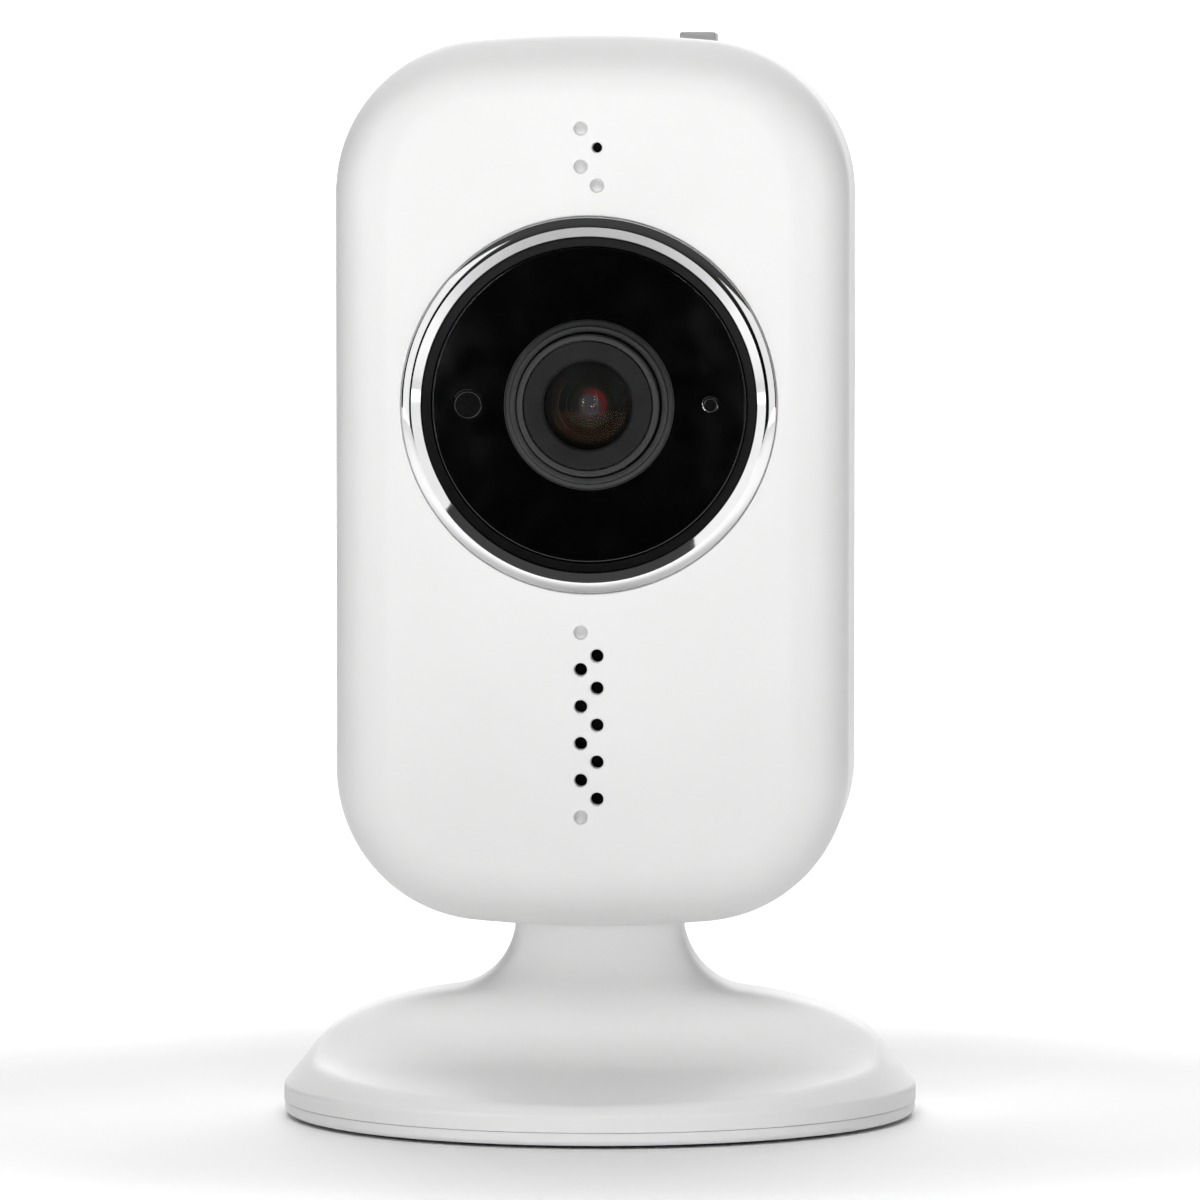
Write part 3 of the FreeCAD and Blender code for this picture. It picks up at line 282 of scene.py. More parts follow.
# painted light: the stand's white is a lighter copy of the casing's white, painted brighter to stand in for the
# light on the stand
def painted_bright_stand_white():
    return plain_finish("stand_white_plastic", (0.91, 0.91, 0.907), (0.89, 0.89, 0.887),
                        (0.38, 0.46), 45, 3600, (0.12, 0.02))


def button_grey():
    return plain_finish("button_grey_plastic", (0.50, 0.50, 0.505), (0.46, 0.46, 0.465),
                        (0.35, 0.45), 300, 5200, (0.10, 0.02))


def polished_chrome():
    return plain_finish("polished_chrome", (0.66, 0.66, 0.665), (0.62, 0.62, 0.625),
                        (0.03, 0.07), 260, 900, (0.05, 0.02), Metallic=1.0)


def piano_black():
    return plain_finish("piano_black_window", (0.0007, 0.0007, 0.0008), (0.0011, 0.0011, 0.0012),
                        (0.02, 0.05), 120, 2500, (0.01, 0.005))


def rim_black():
    return plain_finish("rim_black_plastic", (0.003, 0.003, 0.0032), (0.004, 0.004, 0.0042),
                        (0.30, 0.38), 300, 5000, (0.06, 0.01), Specular_IOR_Level=0.15)


def matt_black():
    return plain_finish("matt_black_plastic", (0.008, 0.008, 0.0085), (0.011, 0.011, 0.0115),
                        (0.5, 0.62), 300, 5200, (0.2, 0.02), Specular_IOR_Level=0.16)


def turned_black():
    """Black anodised metal with fine turning marks round the lens axis."""
    material, nodes, links, shader, place = finish_named("turned_black_metal")
    centre = nodes.new("ShaderNodeMapping")
    centre.inputs["Location"].default_value = (0, 0, -RING_Z * MM)
    links.new(place, centre.inputs["Vector"])
    marks = nodes.new("ShaderNodeTexWave")
    marks.wave_type = "RINGS"
    marks.rings_direction = "Y"
    marks.inputs["Scale"].default_value = 1400
    marks.inputs["Distortion"].default_value = 0.4
    links.new(centre.outputs["Vector"], marks.inputs["Vector"])
    patches = grain(nodes, links, place, 500)
    links.new(blend_colours(nodes, links, patches, (0.009, 0.009, 0.0095), (0.014, 0.014, 0.015)),
              shader.inputs["Base Color"])
    links.new(spread(nodes, links, patches, 0.36, 0.46), shader.inputs["Roughness"])
    raise_grain(nodes, links, shader, marks.outputs["Fac"], 0.12, 0.01)
    return material


def coated_glass(name, tint, film):
    """Clear glass with a thin coating that colours its reflection."""
    material, nodes, links, shader, place = finish_named(name)
    dust = grain(nodes, links, place, 1500, 4.0)
    links.new(spread(nodes, links, dust, 0.0, 0.025, 0.45, 0.8), shader.inputs["Roughness"])
    links.new(blend_colours(nodes, links, dust, tint, tuple(c * 0.97 for c in tint)),
              shader.inputs["Base Color"])
    raise_grain(nodes, links, shader, dust, 0.01, 0.002)
    shader.inputs["Transmission Weight"].default_value = 1.0
    shader.inputs["IOR"].default_value = 1.3
    shader.inputs["Thin Film Thickness"].default_value = film
    shader.inputs["Thin Film IOR"].default_value = 1.16
    shader.inputs["Specular IOR Level"].default_value = 0.16
    return material


def set_stops(ramp, stops):
    """Colour stops of a ramp, as pairs of place and colour, with soft steps between."""
    ramp.interpolation = "EASE"
    ramp.elements.remove(ramp.elements[1])
    ramp.elements[0].position = stops[0][0]
    ramp.elements[0].color = (*stops[0][1], 1)
    for place, colour in stops[1:]:
        ramp.elements.new(place).color = (*colour, 1)


def painted_lens_glow():
    """Glowing lens depth, painted: its emission paints a pale middle, a red reflection arc at its upper right,
    faint rings and a dark rim, standing in for the light and reflections seen deep inside a lens.
    """
    material, nodes, links, shader, place = finish_named("painted_lens_glow")
    centre = nodes.new("ShaderNodeVectorMath")
    centre.operation = "MULTIPLY_ADD"
    per_radius = 1 / (MIDDLE_GLASS_RADIUS * MM)
    centre.inputs[1].default_value = (per_radius, 0, per_radius)
    centre.inputs[2].default_value = (0, 0, -RING_Z / MIDDLE_GLASS_RADIUS)
    links.new(place, centre.inputs[0])
    length = nodes.new("ShaderNodeVectorMath")
    length.operation = "LENGTH"
    links.new(centre.outputs["Vector"], length.inputs[0])
    # painted glow: light seen deep in the lens, pale in the middle and fading to a dark rim
    rings = nodes.new("ShaderNodeValToRGB")
    set_stops(rings.color_ramp, (
        (0.0, (0.036, 0.035, 0.039)), (0.22, (0.034, 0.032, 0.036)), (0.36, (0.014, 0.012, 0.012)),
        (0.6, (0.008, 0.009, 0.006)), (0.8, (0.006, 0.008, 0.005)), (1.0, (0.004, 0.005, 0.005))))
    links.new(length.outputs["Value"], rings.inputs["Fac"])
    # painted red reflection: a band round the middle, kept to the upper right
    red_reflection_band = nodes.new("ShaderNodeValToRGB")
    set_stops(red_reflection_band.color_ramp, ((0.22, (0, 0, 0)), (0.34, (1, 1, 1)), (0.48, (0, 0, 0))))
    links.new(length.outputs["Value"], red_reflection_band.inputs["Fac"])
    upward = nodes.new("ShaderNodeVectorMath")
    upward.operation = "DOT_PRODUCT"
    upward.inputs[1].default_value = (2.2, 0, 1.7)
    links.new(centre.outputs["Vector"], upward.inputs[0])
    red_reflection_mask = nodes.new("ShaderNodeMath")
    red_reflection_mask.operation = "MULTIPLY"
    red_reflection_mask.use_clamp = True
    links.new(red_reflection_band.outputs["Color"], red_reflection_mask.inputs[0])
    links.new(upward.outputs["Value"], red_reflection_mask.inputs[1])
    painted_red_reflection = nodes.new("ShaderNodeMix")
    painted_red_reflection.data_type = "RGBA"
    painted_red_reflection.inputs["B"].default_value = (0.10, 0.010, 0.010, 1)
    links.new(red_reflection_mask.outputs["Value"], painted_red_reflection.inputs["Factor"])
    links.new(rings.outputs["Color"], painted_red_reflection.inputs["A"])
    # the glass glows with these painted colours, though it is no lamp
    links.new(painted_red_reflection.outputs["Result"], shader.inputs["Emission Color"])
    shader.inputs["Emission Strength"].default_value = 1.0
    dust = grain(nodes, links, place, 1500)
    links.new(blend_colours(nodes, links, dust, (0.004, 0.004, 0.004), (0.008, 0.008, 0.008)),
              shader.inputs["Base Color"])
    links.new(spread(nodes, links, dust, 0.03, 0.08), shader.inputs["Roughness"])
    raise_grain(nodes, links, shader, dust, 0.01, 0.002)
    shader.inputs["Specular IOR Level"].default_value = 0.03
    return material


def smoked_plug():
    return plain_finish("smoked_clear_plastic", (0.002, 0.002, 0.002), (0.003, 0.003, 0.003),
                        (0.03, 0.06), 800, 3000, (0.02, 0.004))


def plated_steel():
    return plain_finish("plated_steel", (0.55, 0.55, 0.56), (0.47, 0.47, 0.48),
                        (0.24, 0.36), 700, 3000, (0.10, 0.01), Metallic=1.0)


def extruded_aluminium():
    return plain_finish("extruded_aluminium", (0.70, 0.70, 0.72), (0.62, 0.62, 0.64),
                        (0.3, 0.42), 400, 2500, (0.12, 0.01), Metallic=1.0)


def bare_copper():
    return plain_finish("bare_copper", (0.78, 0.40, 0.24), (0.62, 0.30, 0.18),
                        (0.25, 0.4), 600, 3000, (0.1, 0.01), Metallic=1.0)


def board_green():
    """Solder mask with faint straight tracks under it."""
    material, nodes, links, shader, place = finish_named("green_board")
    tracks = nodes.new("ShaderNodeTexBrick")
    tracks.inputs["Scale"].default_value = 330
    tracks.inputs["Color1"].default_value = (0.012, 0.115, 0.05, 1)
    tracks.inputs["Color2"].default_value = (0.018, 0.14, 0.065, 1)
    tracks.inputs["Mortar"].default_value = (0.03, 0.2, 0.09, 1)
    tracks.inputs["Mortar Size"].default_value = 0.03
    turn = nodes.new("ShaderNodeMapping")
    turn.inputs["Rotation"].default_value = (math.pi / 2, 0, 0)
    links.new(place, turn.inputs["Vector"])
    links.new(turn.outputs["Vector"], tracks.inputs["Vector"])
    links.new(tracks.outputs["Color"], shader.inputs["Base Color"])
    links.new(spread(nodes, links, grain(nodes, links, place, 300), 0.25, 0.4),
              shader.inputs["Roughness"])
    raise_grain(nodes, links, shader, tracks.outputs["Fac"], 0.2, 0.02)
    return material


def chip_black():
    return plain_finish("chip_resin", (0.02, 0.02, 0.021), (0.03, 0.03, 0.031),
                        (0.45, 0.6), 500, 6000, (0.15, 0.01))


def lamp_resin():
    return plain_finish("lamp_resin", (0.55, 0.55, 0.5), (0.45, 0.45, 0.42),
                        (0.08, 0.16), 600, 3000, (0.03, 0.01))


def ivory_plastic():
    return plain_finish("ivory_plastic", (0.72, 0.69, 0.58), (0.66, 0.63, 0.53),
                        (0.4, 0.5), 400, 4000, (0.1, 0.01))


def soft_sleeve():
    return plain_finish("soft_sleeve", (0.03, 0.03, 0.03), (0.045, 0.045, 0.045),
                        (0.4, 0.55), 400, 3000, (0.12, 0.02))


def ribbon_film():
    return plain_finish("ribbon_film", (0.62, 0.42, 0.16), (0.55, 0.36, 0.13),
                        (0.2, 0.3), 400, 2500, (0.05, 0.01))


def label_film():
    return plain_finish("label_film", (0.60, 0.61, 0.62), (0.56, 0.57, 0.58),
                        (0.42, 0.52), 250, 5200, (0.15, 0.01))


def grey_rubber():
    return plain_finish("grey_rubber", (0.045, 0.045, 0.046), (0.06, 0.06, 0.061),
                        (0.7, 0.85), 300, 3500, (0.35, 0.04))


def dark_metal():
    return plain_finish("dark_metal", (0.12, 0.12, 0.125), (0.16, 0.16, 0.165),
                        (0.35, 0.5), 300, 2500, (0.15, 0.02), Metallic=0.8)


FINISHES = {
    "white_plastic": satin_white(),
    "button_grey": button_grey(),
    "bright_ring": polished_chrome(),
    "dark_window": piano_black(),
    "black_plastic": matt_black(),
    "clear_plastic": smoked_plug(),
    "black_metal": turned_black(),
    "lens_glass": coated_glass("coated_glass", (0.93, 0.97, 0.94), 420),
    "board_green": board_green(),
    "chip_black": chip_black(),
    "lamp_clear": lamp_resin(),
    "steel": plated_steel(),
    "heat_aluminium": extruded_aluminium(),
    "copper": bare_copper(),
    "magnet": dark_metal(),
    "power_metal": dark_metal(),
    "ivory_plastic": ivory_plastic(),
    "lead_sleeve": soft_sleeve(),
    "ribbon": ribbon_film(),
    "label_film": label_film(),
    "grey_rubber": grey_rubber(),
    "ballast_steel": dark_metal(),
}
# lighter copy of the white plastic, painted brighter for the stand
PAINTED_BRIGHT_STAND_WHITE = painted_bright_stand_white()
RIM_BLACK = rim_black()


def dress(piece, material):
    piece.data.materials.clear()
    piece.data.materials.append(material)


def dress_frame():
    """Every carried-over node takes the finish of its slot; the microphone shows black."""
    for row in frame["record"]["subparts"]:
        dress(frame["nodes"][row["node"]], FINISHES[row["material_slot"]])
    for behind_the_dot in ("microphone", "microphone_boot"):
        dress(frame["nodes"][behind_the_dot], FINISHES["black_plastic"])


def stand_for(piece, body, slot, *nodes, finish=None):
    """Hangs a finished piece on its body in place of the plain nodes."""
    dress(piece, finish or FINISHES[slot])
    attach(piece, body)
    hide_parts(*nodes)
    return piece


# ---- head ----------------------------------------------------------------------------------
def head_reach(bearing, inset):
    """Distance from the head's middle to its outline, drawn in by the inset, on a bearing."""
    across, up = abs(math.cos(bearing)), abs(math.sin(bearing))
    half, corner, crown = HEAD_WIDTH / 2 - inset, CORNER_RADIUS - inset, CROWN_RADIUS - inset
    corner_x = half - corner
    crown_z = HEAD_HEIGHT / 2 - CROWN_RADIUS
    corner_z = crown_z + math.sqrt((crown - corner) ** 2 - corner_x ** 2)
    if across * corner_z >= up * half:
        return half / across
    reach = up * crown_z + math.sqrt((up * crown_z) ** 2 - crown_z ** 2 + crown ** 2)
    if across * reach * (corner_z - crown_z) <= corner_x * (up * reach - crown_z):
        return reach
    middle = across * corner_x + up * corner_z
    return middle + math.sqrt(middle ** 2 - corner_x ** 2 - corner_z ** 2 + corner ** 2)


def head_point(bearing, inset, y):
    """A point on the head's outline at a depth y."""
    reach = head_reach(bearing, inset)
    return (reach * math.cos(bearing), y, HEAD_MIDDLE + reach * math.sin(bearing))


def half_shell(name, seam_y, end_y, radius):
    """One casing half: seam edge, side wall, rounded rim and flat end, with its wall thickness."""
    count, steps = 288, 14
    way = math.copysign(1, end_y - seam_y)
    rings = [(0.15, seam_y), (0.04, seam_y + 0.05 * way), (0.0, seam_y + 0.15 * way)]
    wall_end = end_y - radius * way
    rings += [(0.0, seam_y + (wall_end - seam_y) * k / 4) for k in (1, 2, 3, 4)]
    for k in range(1, steps + 1):
        turn = math.pi / 2 * k / steps
        rings.append((radius * (1 - math.cos(turn)), wall_end + radius * math.sin(turn) * way))
    piece = start_ring(name, count, lambda k: head_point(TAU * k / count, *rings[0]))
    for inset, y in rings[1:]:
        next_ring(piece, lambda p, inset=inset, y=y: head_point(
            math.atan2(p.z - HEAD_MIDDLE, p.x), inset, y))
    close_ring()
    finish_edit(piece)
    modify(piece, "SOLIDIFY", thickness=WALL * MM, offset=-1.0, use_even_offset=True)
    return piece


def zigzag(top, pitch, count):
    """Dot centres from the top down, left and right of the middle in turn."""
    return [(DOT_COLUMN * (-1) ** (k + 1), top - k * pitch) for k in range(count)]


def dot_cutter(name, profile, centre):
    """Cutter for one dot, from points of (radius, depth behind the face)."""
    return turned(name, [(r, HEAD_FRONT + depth) for r, depth in profile], *centre, SMALL)


def dot_cutters():
    """Drills for the open dots and round-bottomed cutters for the shallow ones."""
    speaker = zigzag(RING_Z - SPEAKER_DROP, SPEAKER_PITCH, SPEAKER_DOTS)
    speaker[1] = (speaker[1][0], speaker[1][1] - SECOND_DOT_DROP)
    mic = zigzag(RING_Z + MIC_RISE, MIC_PITCH, MIC_DOTS)
    through = WALL + 1
    speaker_hole = [(0, -1), (1.0, -1), (0.90, 0), (0.82, 0.05), (0.76, 0.14),
                    (0.74, through), (0, through)]
    mic_hole = [(0, -1), (0.8, -1), (0.72, 0), (0.64, 0.06), (0.6, 0.14),
                (0.58, through), (0, through)]
    dent = [(0, -1), (1.0, -1), (0.88, 0), (0.80, 0.06), (0.79, 0.8), (0.72, 1.1),
            (0.5, 1.25), (0.2, 1.3), (0, 1.3)]
    cutters = [dot_cutter("drill", speaker_hole, centre) for centre in speaker[1:-1]]
    cutters.append(dot_cutter("drill", mic_hole, mic[1]))
    for centre in (speaker[0], speaker[-1], mic[0], mic[2], mic[3]):
        cutters.append(dot_cutter("dent", dent, centre))
    return cutters


def neck_slot_cutter():
    """Opening in the bottom of the head, long enough for the neck over the whole tilt."""
    return block("slot", (-10.5, -9.6, HEAD_LOW.z - 2), (10.5, 11.3, HEAD_LOW.z + 6), 2.0, "Z")


def make_head_front():
    """Front casing with the round seat of the ring, the dots and its part of the neck slot."""
    shell = half_shell("head_front", PARTING - SEAM / 2, HEAD_FRONT, FRONT_ROUND)
    f = HEAD_FRONT
    pocket = turned("pocket", [(0, f - 1), (22.1, f - 1), (21.98, f), (21.88, f + 0.1),
                               (21.88, f + 0.9), (19.6, f + 0.9), (19.6, f + 4), (0, f + 4)])
    carve(shell, join([pocket, *dot_cutters(), neck_slot_cutter()], "front_cutter"))
    smooth(shell, 28)
    return stand_for(shell, "head", "white_plastic", "front_casing")


def make_head_back():
    """Rear casing with screw wells, vents, inlet, label bed, card slot and button opening."""
    shell = half_shell("head_back", PARTING + SEAM / 2, HEAD_REAR, REAR_ROUND)
    rear, top = HEAD_REAR, HEAD_HIGH.z
    bore = [(0, rear + 1), (0, rear - 4), (2.5, rear - 4), (2.5, rear - 0.2),
            (2.6, rear - 0.06), (2.75, rear), (2.85, rear + 1)]
    cutters = [neck_slot_cutter()]
    for x in (-20.0, 20.0):
        for z in (50.0, 112.0):
            cutters.append(turned("counterbore", bore, x, z, steps=48))
    first_vent, vent_pitch, vent_half = 93.0, 3.2, 0.65
    for k in range(6):
        z = first_vent + vent_pitch * k
        cutters.append(block("vent", (-9, rear - 3, z - vent_half), (9, rear + 1, z + vent_half),
                             0.6))
    cutters.append(block("inlet", (-6.6, rear - 0.9, 44.8), (6.6, rear + 1, 53.2), 2.0))
    cutters.append(block("inlet_way", (-4.15, rear - 3, 47.25), (4.15, rear - 0.5, 50.75), 0.7))
    cutters.append(block("label_bed", (-12, rear - 0.15, 63.5), (12, rear + 1, 79.5), 1.5))
    cutters.append(block("card_way", (26, 4.15, 86.0), (31, 5.75, 98.0), 0.5, "X"))
    cutters.append(block("button_way", (9.25, -0.55, top - 5), (13.85, 6.15, top + 2), 0.8, "Z"))
    for cutter in cutters:
        carve(shell, cutter)
    smooth(shell, 28)
    return stand_for(shell, "head", "white_plastic", "rear_casing")


def make_bright_ring():
    """Rounded bead outside, a narrow step, and a cone that falls in to the black rim."""
    f = HEAD_FRONT
    bead = arc(20.3, f + 1.15, 2.12, -47, -80, 12)
    outline = [(21.8, f + 0.9), (21.8, f - 0.25), (21.78, f - 0.34)] + bead
    outline += [(20.58, f - 0.95), (20.5, f - 0.9), (19.62, f - 0.34), (19.53, f - 0.26),
                (19.5, f - 0.16), (19.5, f + 0.9)]
    ring = turned("bright_ring", outline, steps=FINE)
    smooth(ring, 25)
    return stand_for(ring, "head", "bright_ring", "bezel_ring")


def make_black_rim():
    """Matt rim inside the bright ring, with its two screw posts behind."""
    f = HEAD_FRONT
    outline = [(19.45, f + 0.42), (19.45, f + 2.0), (21.2, f + 2.0), (21.2, f + 3.2),
               (16.9, f + 3.2), (16.9, f + 2.25), (18.4, f + 2.25), (18.4, f + 0.68),
               (18.46, f + 0.62), (18.58, f + 0.6), (19.3, f + 0.36)]
    rim = turned("black_rim", outline, steps=FINE)
    smooth(rim, 25)
    tube = [(0.95, f + 2.25), (2.4, f + 2.25), (2.4, -4.0), (0.95, -4.0)]
    posts = [turned("post", tube, 0, RING_Z + dz, SMALL) for dz in (-15.2, 15.2)]
    rim = join([rim, *posts], "black_rim")
    return stand_for(rim, "head", "black_plastic", "lens_bezel", finish=RIM_BLACK)


def make_window():
    """Glossy black disc with a bevelled rim, a lens hole and two small holes."""
    y = WINDOW_FRONT
    edge = arc(18.11, y + 0.24, 0.24, -90, 0, 6)
    outline = [(9.95, y + 1.5), (9.95, y + 0.12), (10.07, y)] + edge + [(18.35, y + 1.5)]
    disc = turned("window", outline, steps=FINE)
    holes = []
    for x, r in ((-PLUG_X, 1.68), (PLUG_X, 0.92)):
        hole = [(0, y - 1), (r + 0.2, y - 1), (r + 0.12, y), (r, y + 0.1), (r, y + 3), (0, y + 3)]
        holes.append(turned("hole", hole, x, steps=64))
    carve(disc, join(holes, "holes"))
    smooth(disc, 25)
    return stand_for(disc, "head", "dark_window", "window_panel")


def make_plug(name, x, radius, node):
    """Dark clear plug in the window, with a fine raised rim and a flange behind."""
    y, flange = WINDOW_FRONT, radius + 0.5
    bead = arc(radius - 0.09, y + 0.1, 0.09, -180, 0, 8)
    outline = [(0, y + 0.08), (radius - 0.2, y + 0.08)] + bead
    outline += [(radius, y + 1.5), (flange, y + 1.5), (flange, y + 2.0), (0, y + 2.0)]
    plug = turned(name, outline, x, steps=96)
    smooth(plug, 25)
    return stand_for(plug, "head", "clear_plastic", node)


def make_lens_collar():
    """Black metal collar between the lens and the window, with a groove round it."""
    f = HEAD_FRONT
    outline = [(8.45, f + 3.2), (8.45, f + 0.12), (8.52, f + 0.02), (8.62, f), (9.02, f)]
    outline += arc(9.05, f + 0.13, 0.13, -90, 0, 4)
    outline += [(9.26, f + 0.62), (9.72, f + 0.72), (9.80, f + 0.62), (9.88, f + 0.66),
                (9.9, f + 0.74), (9.9, f + 2.25), (11.0, f + 2.25), (11.0, f + 3.2)]
    collar = turned("lens_collar", outline, steps=FINE)
    smooth(collar, 25)
    return stand_for(collar, "head", "black_plastic", "lens_shroud",
                     finish=FINISHES["black_metal"])


def make_lens_body():
    """Lens head with a rounded lip, threaded tail and stepped bore."""
    f = LENS_FRONT
    outline = [(5.45, f + 1.2), (7.54, f + 1.2), (7.54, f + 0.10), (7.60, f + 0.02), (8.02, f)]
    outline += arc(8.03, f + 0.25, 0.25, -90, 0, 5)
    outline += [(8.28, -18.0), (5.95, -17.4)]
    thread, thread_end, pitch = -17.0, -9.6, 0.5
    while thread < thread_end:
        outline += [(5.95, thread), (5.72, thread + pitch / 2)]
        thread += pitch
    outline += [(5.9, -9.2), (3.2, -9.2), (3.2, -11.0), (4.3, -11.0), (4.3, -19.6), (5.45, -19.6)]
    body = turned("lens_body", outline)
    smooth(body, 25)
    return stand_for(body, "head", "black_metal", "lens_barrel")


def make_lens_front_ring():
    """Flat ring that clamps the front glass, dished towards it."""
    f = LENS_FRONT
    outline = [(7.42, f + 1.2), (7.42, f + 0.16), (7.36, f + 0.1), (5.46, f + 0.1),
               (5.36, f + 0.13), (5.22, f + 0.3), (5.12, f + 0.52), (5.14, f + 0.62),
               (5.5, f + 1.05), (5.6, f + 1.2)]
    ring = turned("lens_front_ring", outline, steps=FINE)
    smooth(ring, 25)
    return stand_for(ring, "head", "black_plastic", "lens_retaining_ring")


def bulge(radius, rim_y, rise):
    """Points of a shallow dome from the axis to its rim; it bulges towards -Y by the rise."""
    steps = 18
    ball = (radius ** 2 + rise ** 2) / (2 * abs(rise))
    side = math.copysign(1, rise)
    points = []
    for k in range(steps + 1):
        r = radius * k / steps
        drop = ball - math.sqrt(ball ** 2 - r ** 2)
        points.append((r, rim_y - rise + side * drop))
    return points


def make_glass(name, node, radius, rim_y, thickness, front_rise, back_rise, finish):
    """One lens glass between two domes."""
    face = bulge(radius, rim_y, front_rise)
    back = bulge(radius, rim_y + thickness, back_rise)
    glass = turned(name, face + back[::-1], steps=96)
    smooth(glass, 40)
    return stand_for(glass, "head", "lens_glass", node, finish=finish)


def make_push_button():
    """Cap with a flange under the casing and a stem down to the click switch."""
    button = block("push_button_cap", (9.4, -0.4, 124.0), (13.7, 6.0, 128.25), 0.65, "Z")
    round_edges(button, 0.3)
    flange = block("flange", (8.35, -1.2, 123.6), (14.75, 6.8, 124.55), 0.5, "Z")
    stem = block("stem", (10.35, 2.7, 119.2), (12.75, 5.1, 123.7), 0.9, "Z")
    button = join([button, flange, stem], "push_button")
    smooth(button, 30)
    return stand_for(button, "button", "button_grey", "top_button")


# ---- stand ---------------------------------------------------------------------------------
NECK_HALF_DEPTH, NECK_TOP_LEVEL = 6.3, 24.6
KNUCKLE_STEPS, KNUCKLE_TURN = 6, 14   # rings over the top of the neck, and degrees between them
SIDE_SWEEP, SIDE_SWEEP_X, SIDE_SWEEP_Z, SIDE_SWEEP_END = 8.6, 18.5, 23.7, 15.23
DOME_REACH, DOME_POWER, DOME_BASE, DOME_HEIGHT, DOME_END = 34.6, 2.6, 4.0, 12.0, 9.2
FRONT_SWEEP = 11.0
SHELF_SLOPE, SHELF_Y, SHELF_Z = math.radians(5.5), 20.0, 6.5    # slope, and one point on it
CHAMFER_SLOPE = 1.243
WALL_TOP = 3.8
STAND_WALL = 1.4
FLOOR_SEAM = 1.94
RIDGE_WIDTH, RIDGE_SHARE = 0.9, 0.014
TOP_RINGS = 52


def side_reach(z):
    """Half width of the stand's top surface at a height: neck sweep, dome, outside the rim."""
    if z > SIDE_SWEEP_END:
        drop = max(SIDE_SWEEP_Z - z, 0.0)
        return SIDE_SWEEP_X - math.sqrt(SIDE_SWEEP ** 2 - drop ** 2)
    rise = (max(z, DOME_END) - DOME_BASE) / DOME_HEIGHT
    dome = DOME_REACH * (1 - rise ** DOME_POWER) ** (1 / DOME_POWER)
    return dome + 1.5 * max(DOME_END - z, 0.0)


def front_reach(z):
    """Half depth of the stand's top surface at a height: neck, sweep, then the shallow shelf."""
    arc_y = NECK_HALF_DEPTH + FRONT_SWEEP
    meet_y = arc_y - FRONT_SWEEP * math.sin(SHELF_SLOPE)
    meet_z = SHELF_Z + (SHELF_Y - meet_y) * math.tan(SHELF_SLOPE)
    arc_z = meet_z + FRONT_SWEEP * math.cos(SHELF_SLOPE)
    if z >= arc_z:
        return NECK_HALF_DEPTH
    if z > meet_z:
        return arc_y - math.sqrt(FRONT_SWEEP ** 2 - (arc_z - z) ** 2)
    return meet_y + (meet_z - z) / math.tan(SHELF_SLOPE)


def top_reach(bearing, z):
    """Distance from the axis to the top surface on a bearing; its plan is squarer low down."""
    power = 4.0 + 2.0 * max(0.0, min(1.0, (7.5 - z) / 2.0))
    across = abs(math.cos(bearing)) / side_reach(z)
    along = abs(math.sin(bearing)) / front_reach(z)
    return (across ** power + along ** power) ** (-1 / power)


def chamfer_reach(z):
    """Distance from the axis to the straight chamfer over the rim wall."""
    return STAND_RADIUS - (z - WALL_TOP) / CHAMFER_SLOPE


def solve(low, high, test):
    """Height between two limits where the test changes from true to false."""
    for _ in range(40):
        middle = (low + high) / 2
        if test(middle):
            low = middle
        else:
            high = middle
    return (low + high) / 2


def ridge_point(bearing):
    """Where the top surface meets the chamfer on a bearing."""
    z = solve(3.9, 12.0, lambda h: top_reach(bearing, h) > chamfer_reach(h))
    return chamfer_reach(z), z


def top_point(bearing, share):
    """A point from the ridge, share 0, to the neck, share 1, evenly spaced along the surface."""
    ridge_r, ridge_z = ridge_point(bearing)
    neck_r = top_reach(bearing, NECK_TOP_LEVEL)

    def passed(z):
        inward = (ridge_r - top_reach(bearing, z)) / (ridge_r - neck_r)
        upward = (z - ridge_z) / (NECK_TOP_LEVEL - ridge_z)
        return inward + upward < 2 * share

    z = solve(ridge_z, NECK_TOP_LEVEL, passed)
    return top_reach(bearing, z), z


def soft_ridge(bearing, t):
    """Rounds the ridge between a point on the chamfer and a point on the top."""
    ridge_r, ridge_z = ridge_point(bearing)
    slope = math.atan(CHAMFER_SLOPE)
    low = (ridge_r + RIDGE_WIDTH * math.cos(slope), ridge_z - RIDGE_WIDTH * math.sin(slope))
    high = top_point(bearing, RIDGE_SHARE)
    a, b, c = (1 - t) ** 2, 2 * t * (1 - t), t ** 2
    return tuple(a * p + b * q + c * r for p, q, r in zip(low, (ridge_r, ridge_z), high))


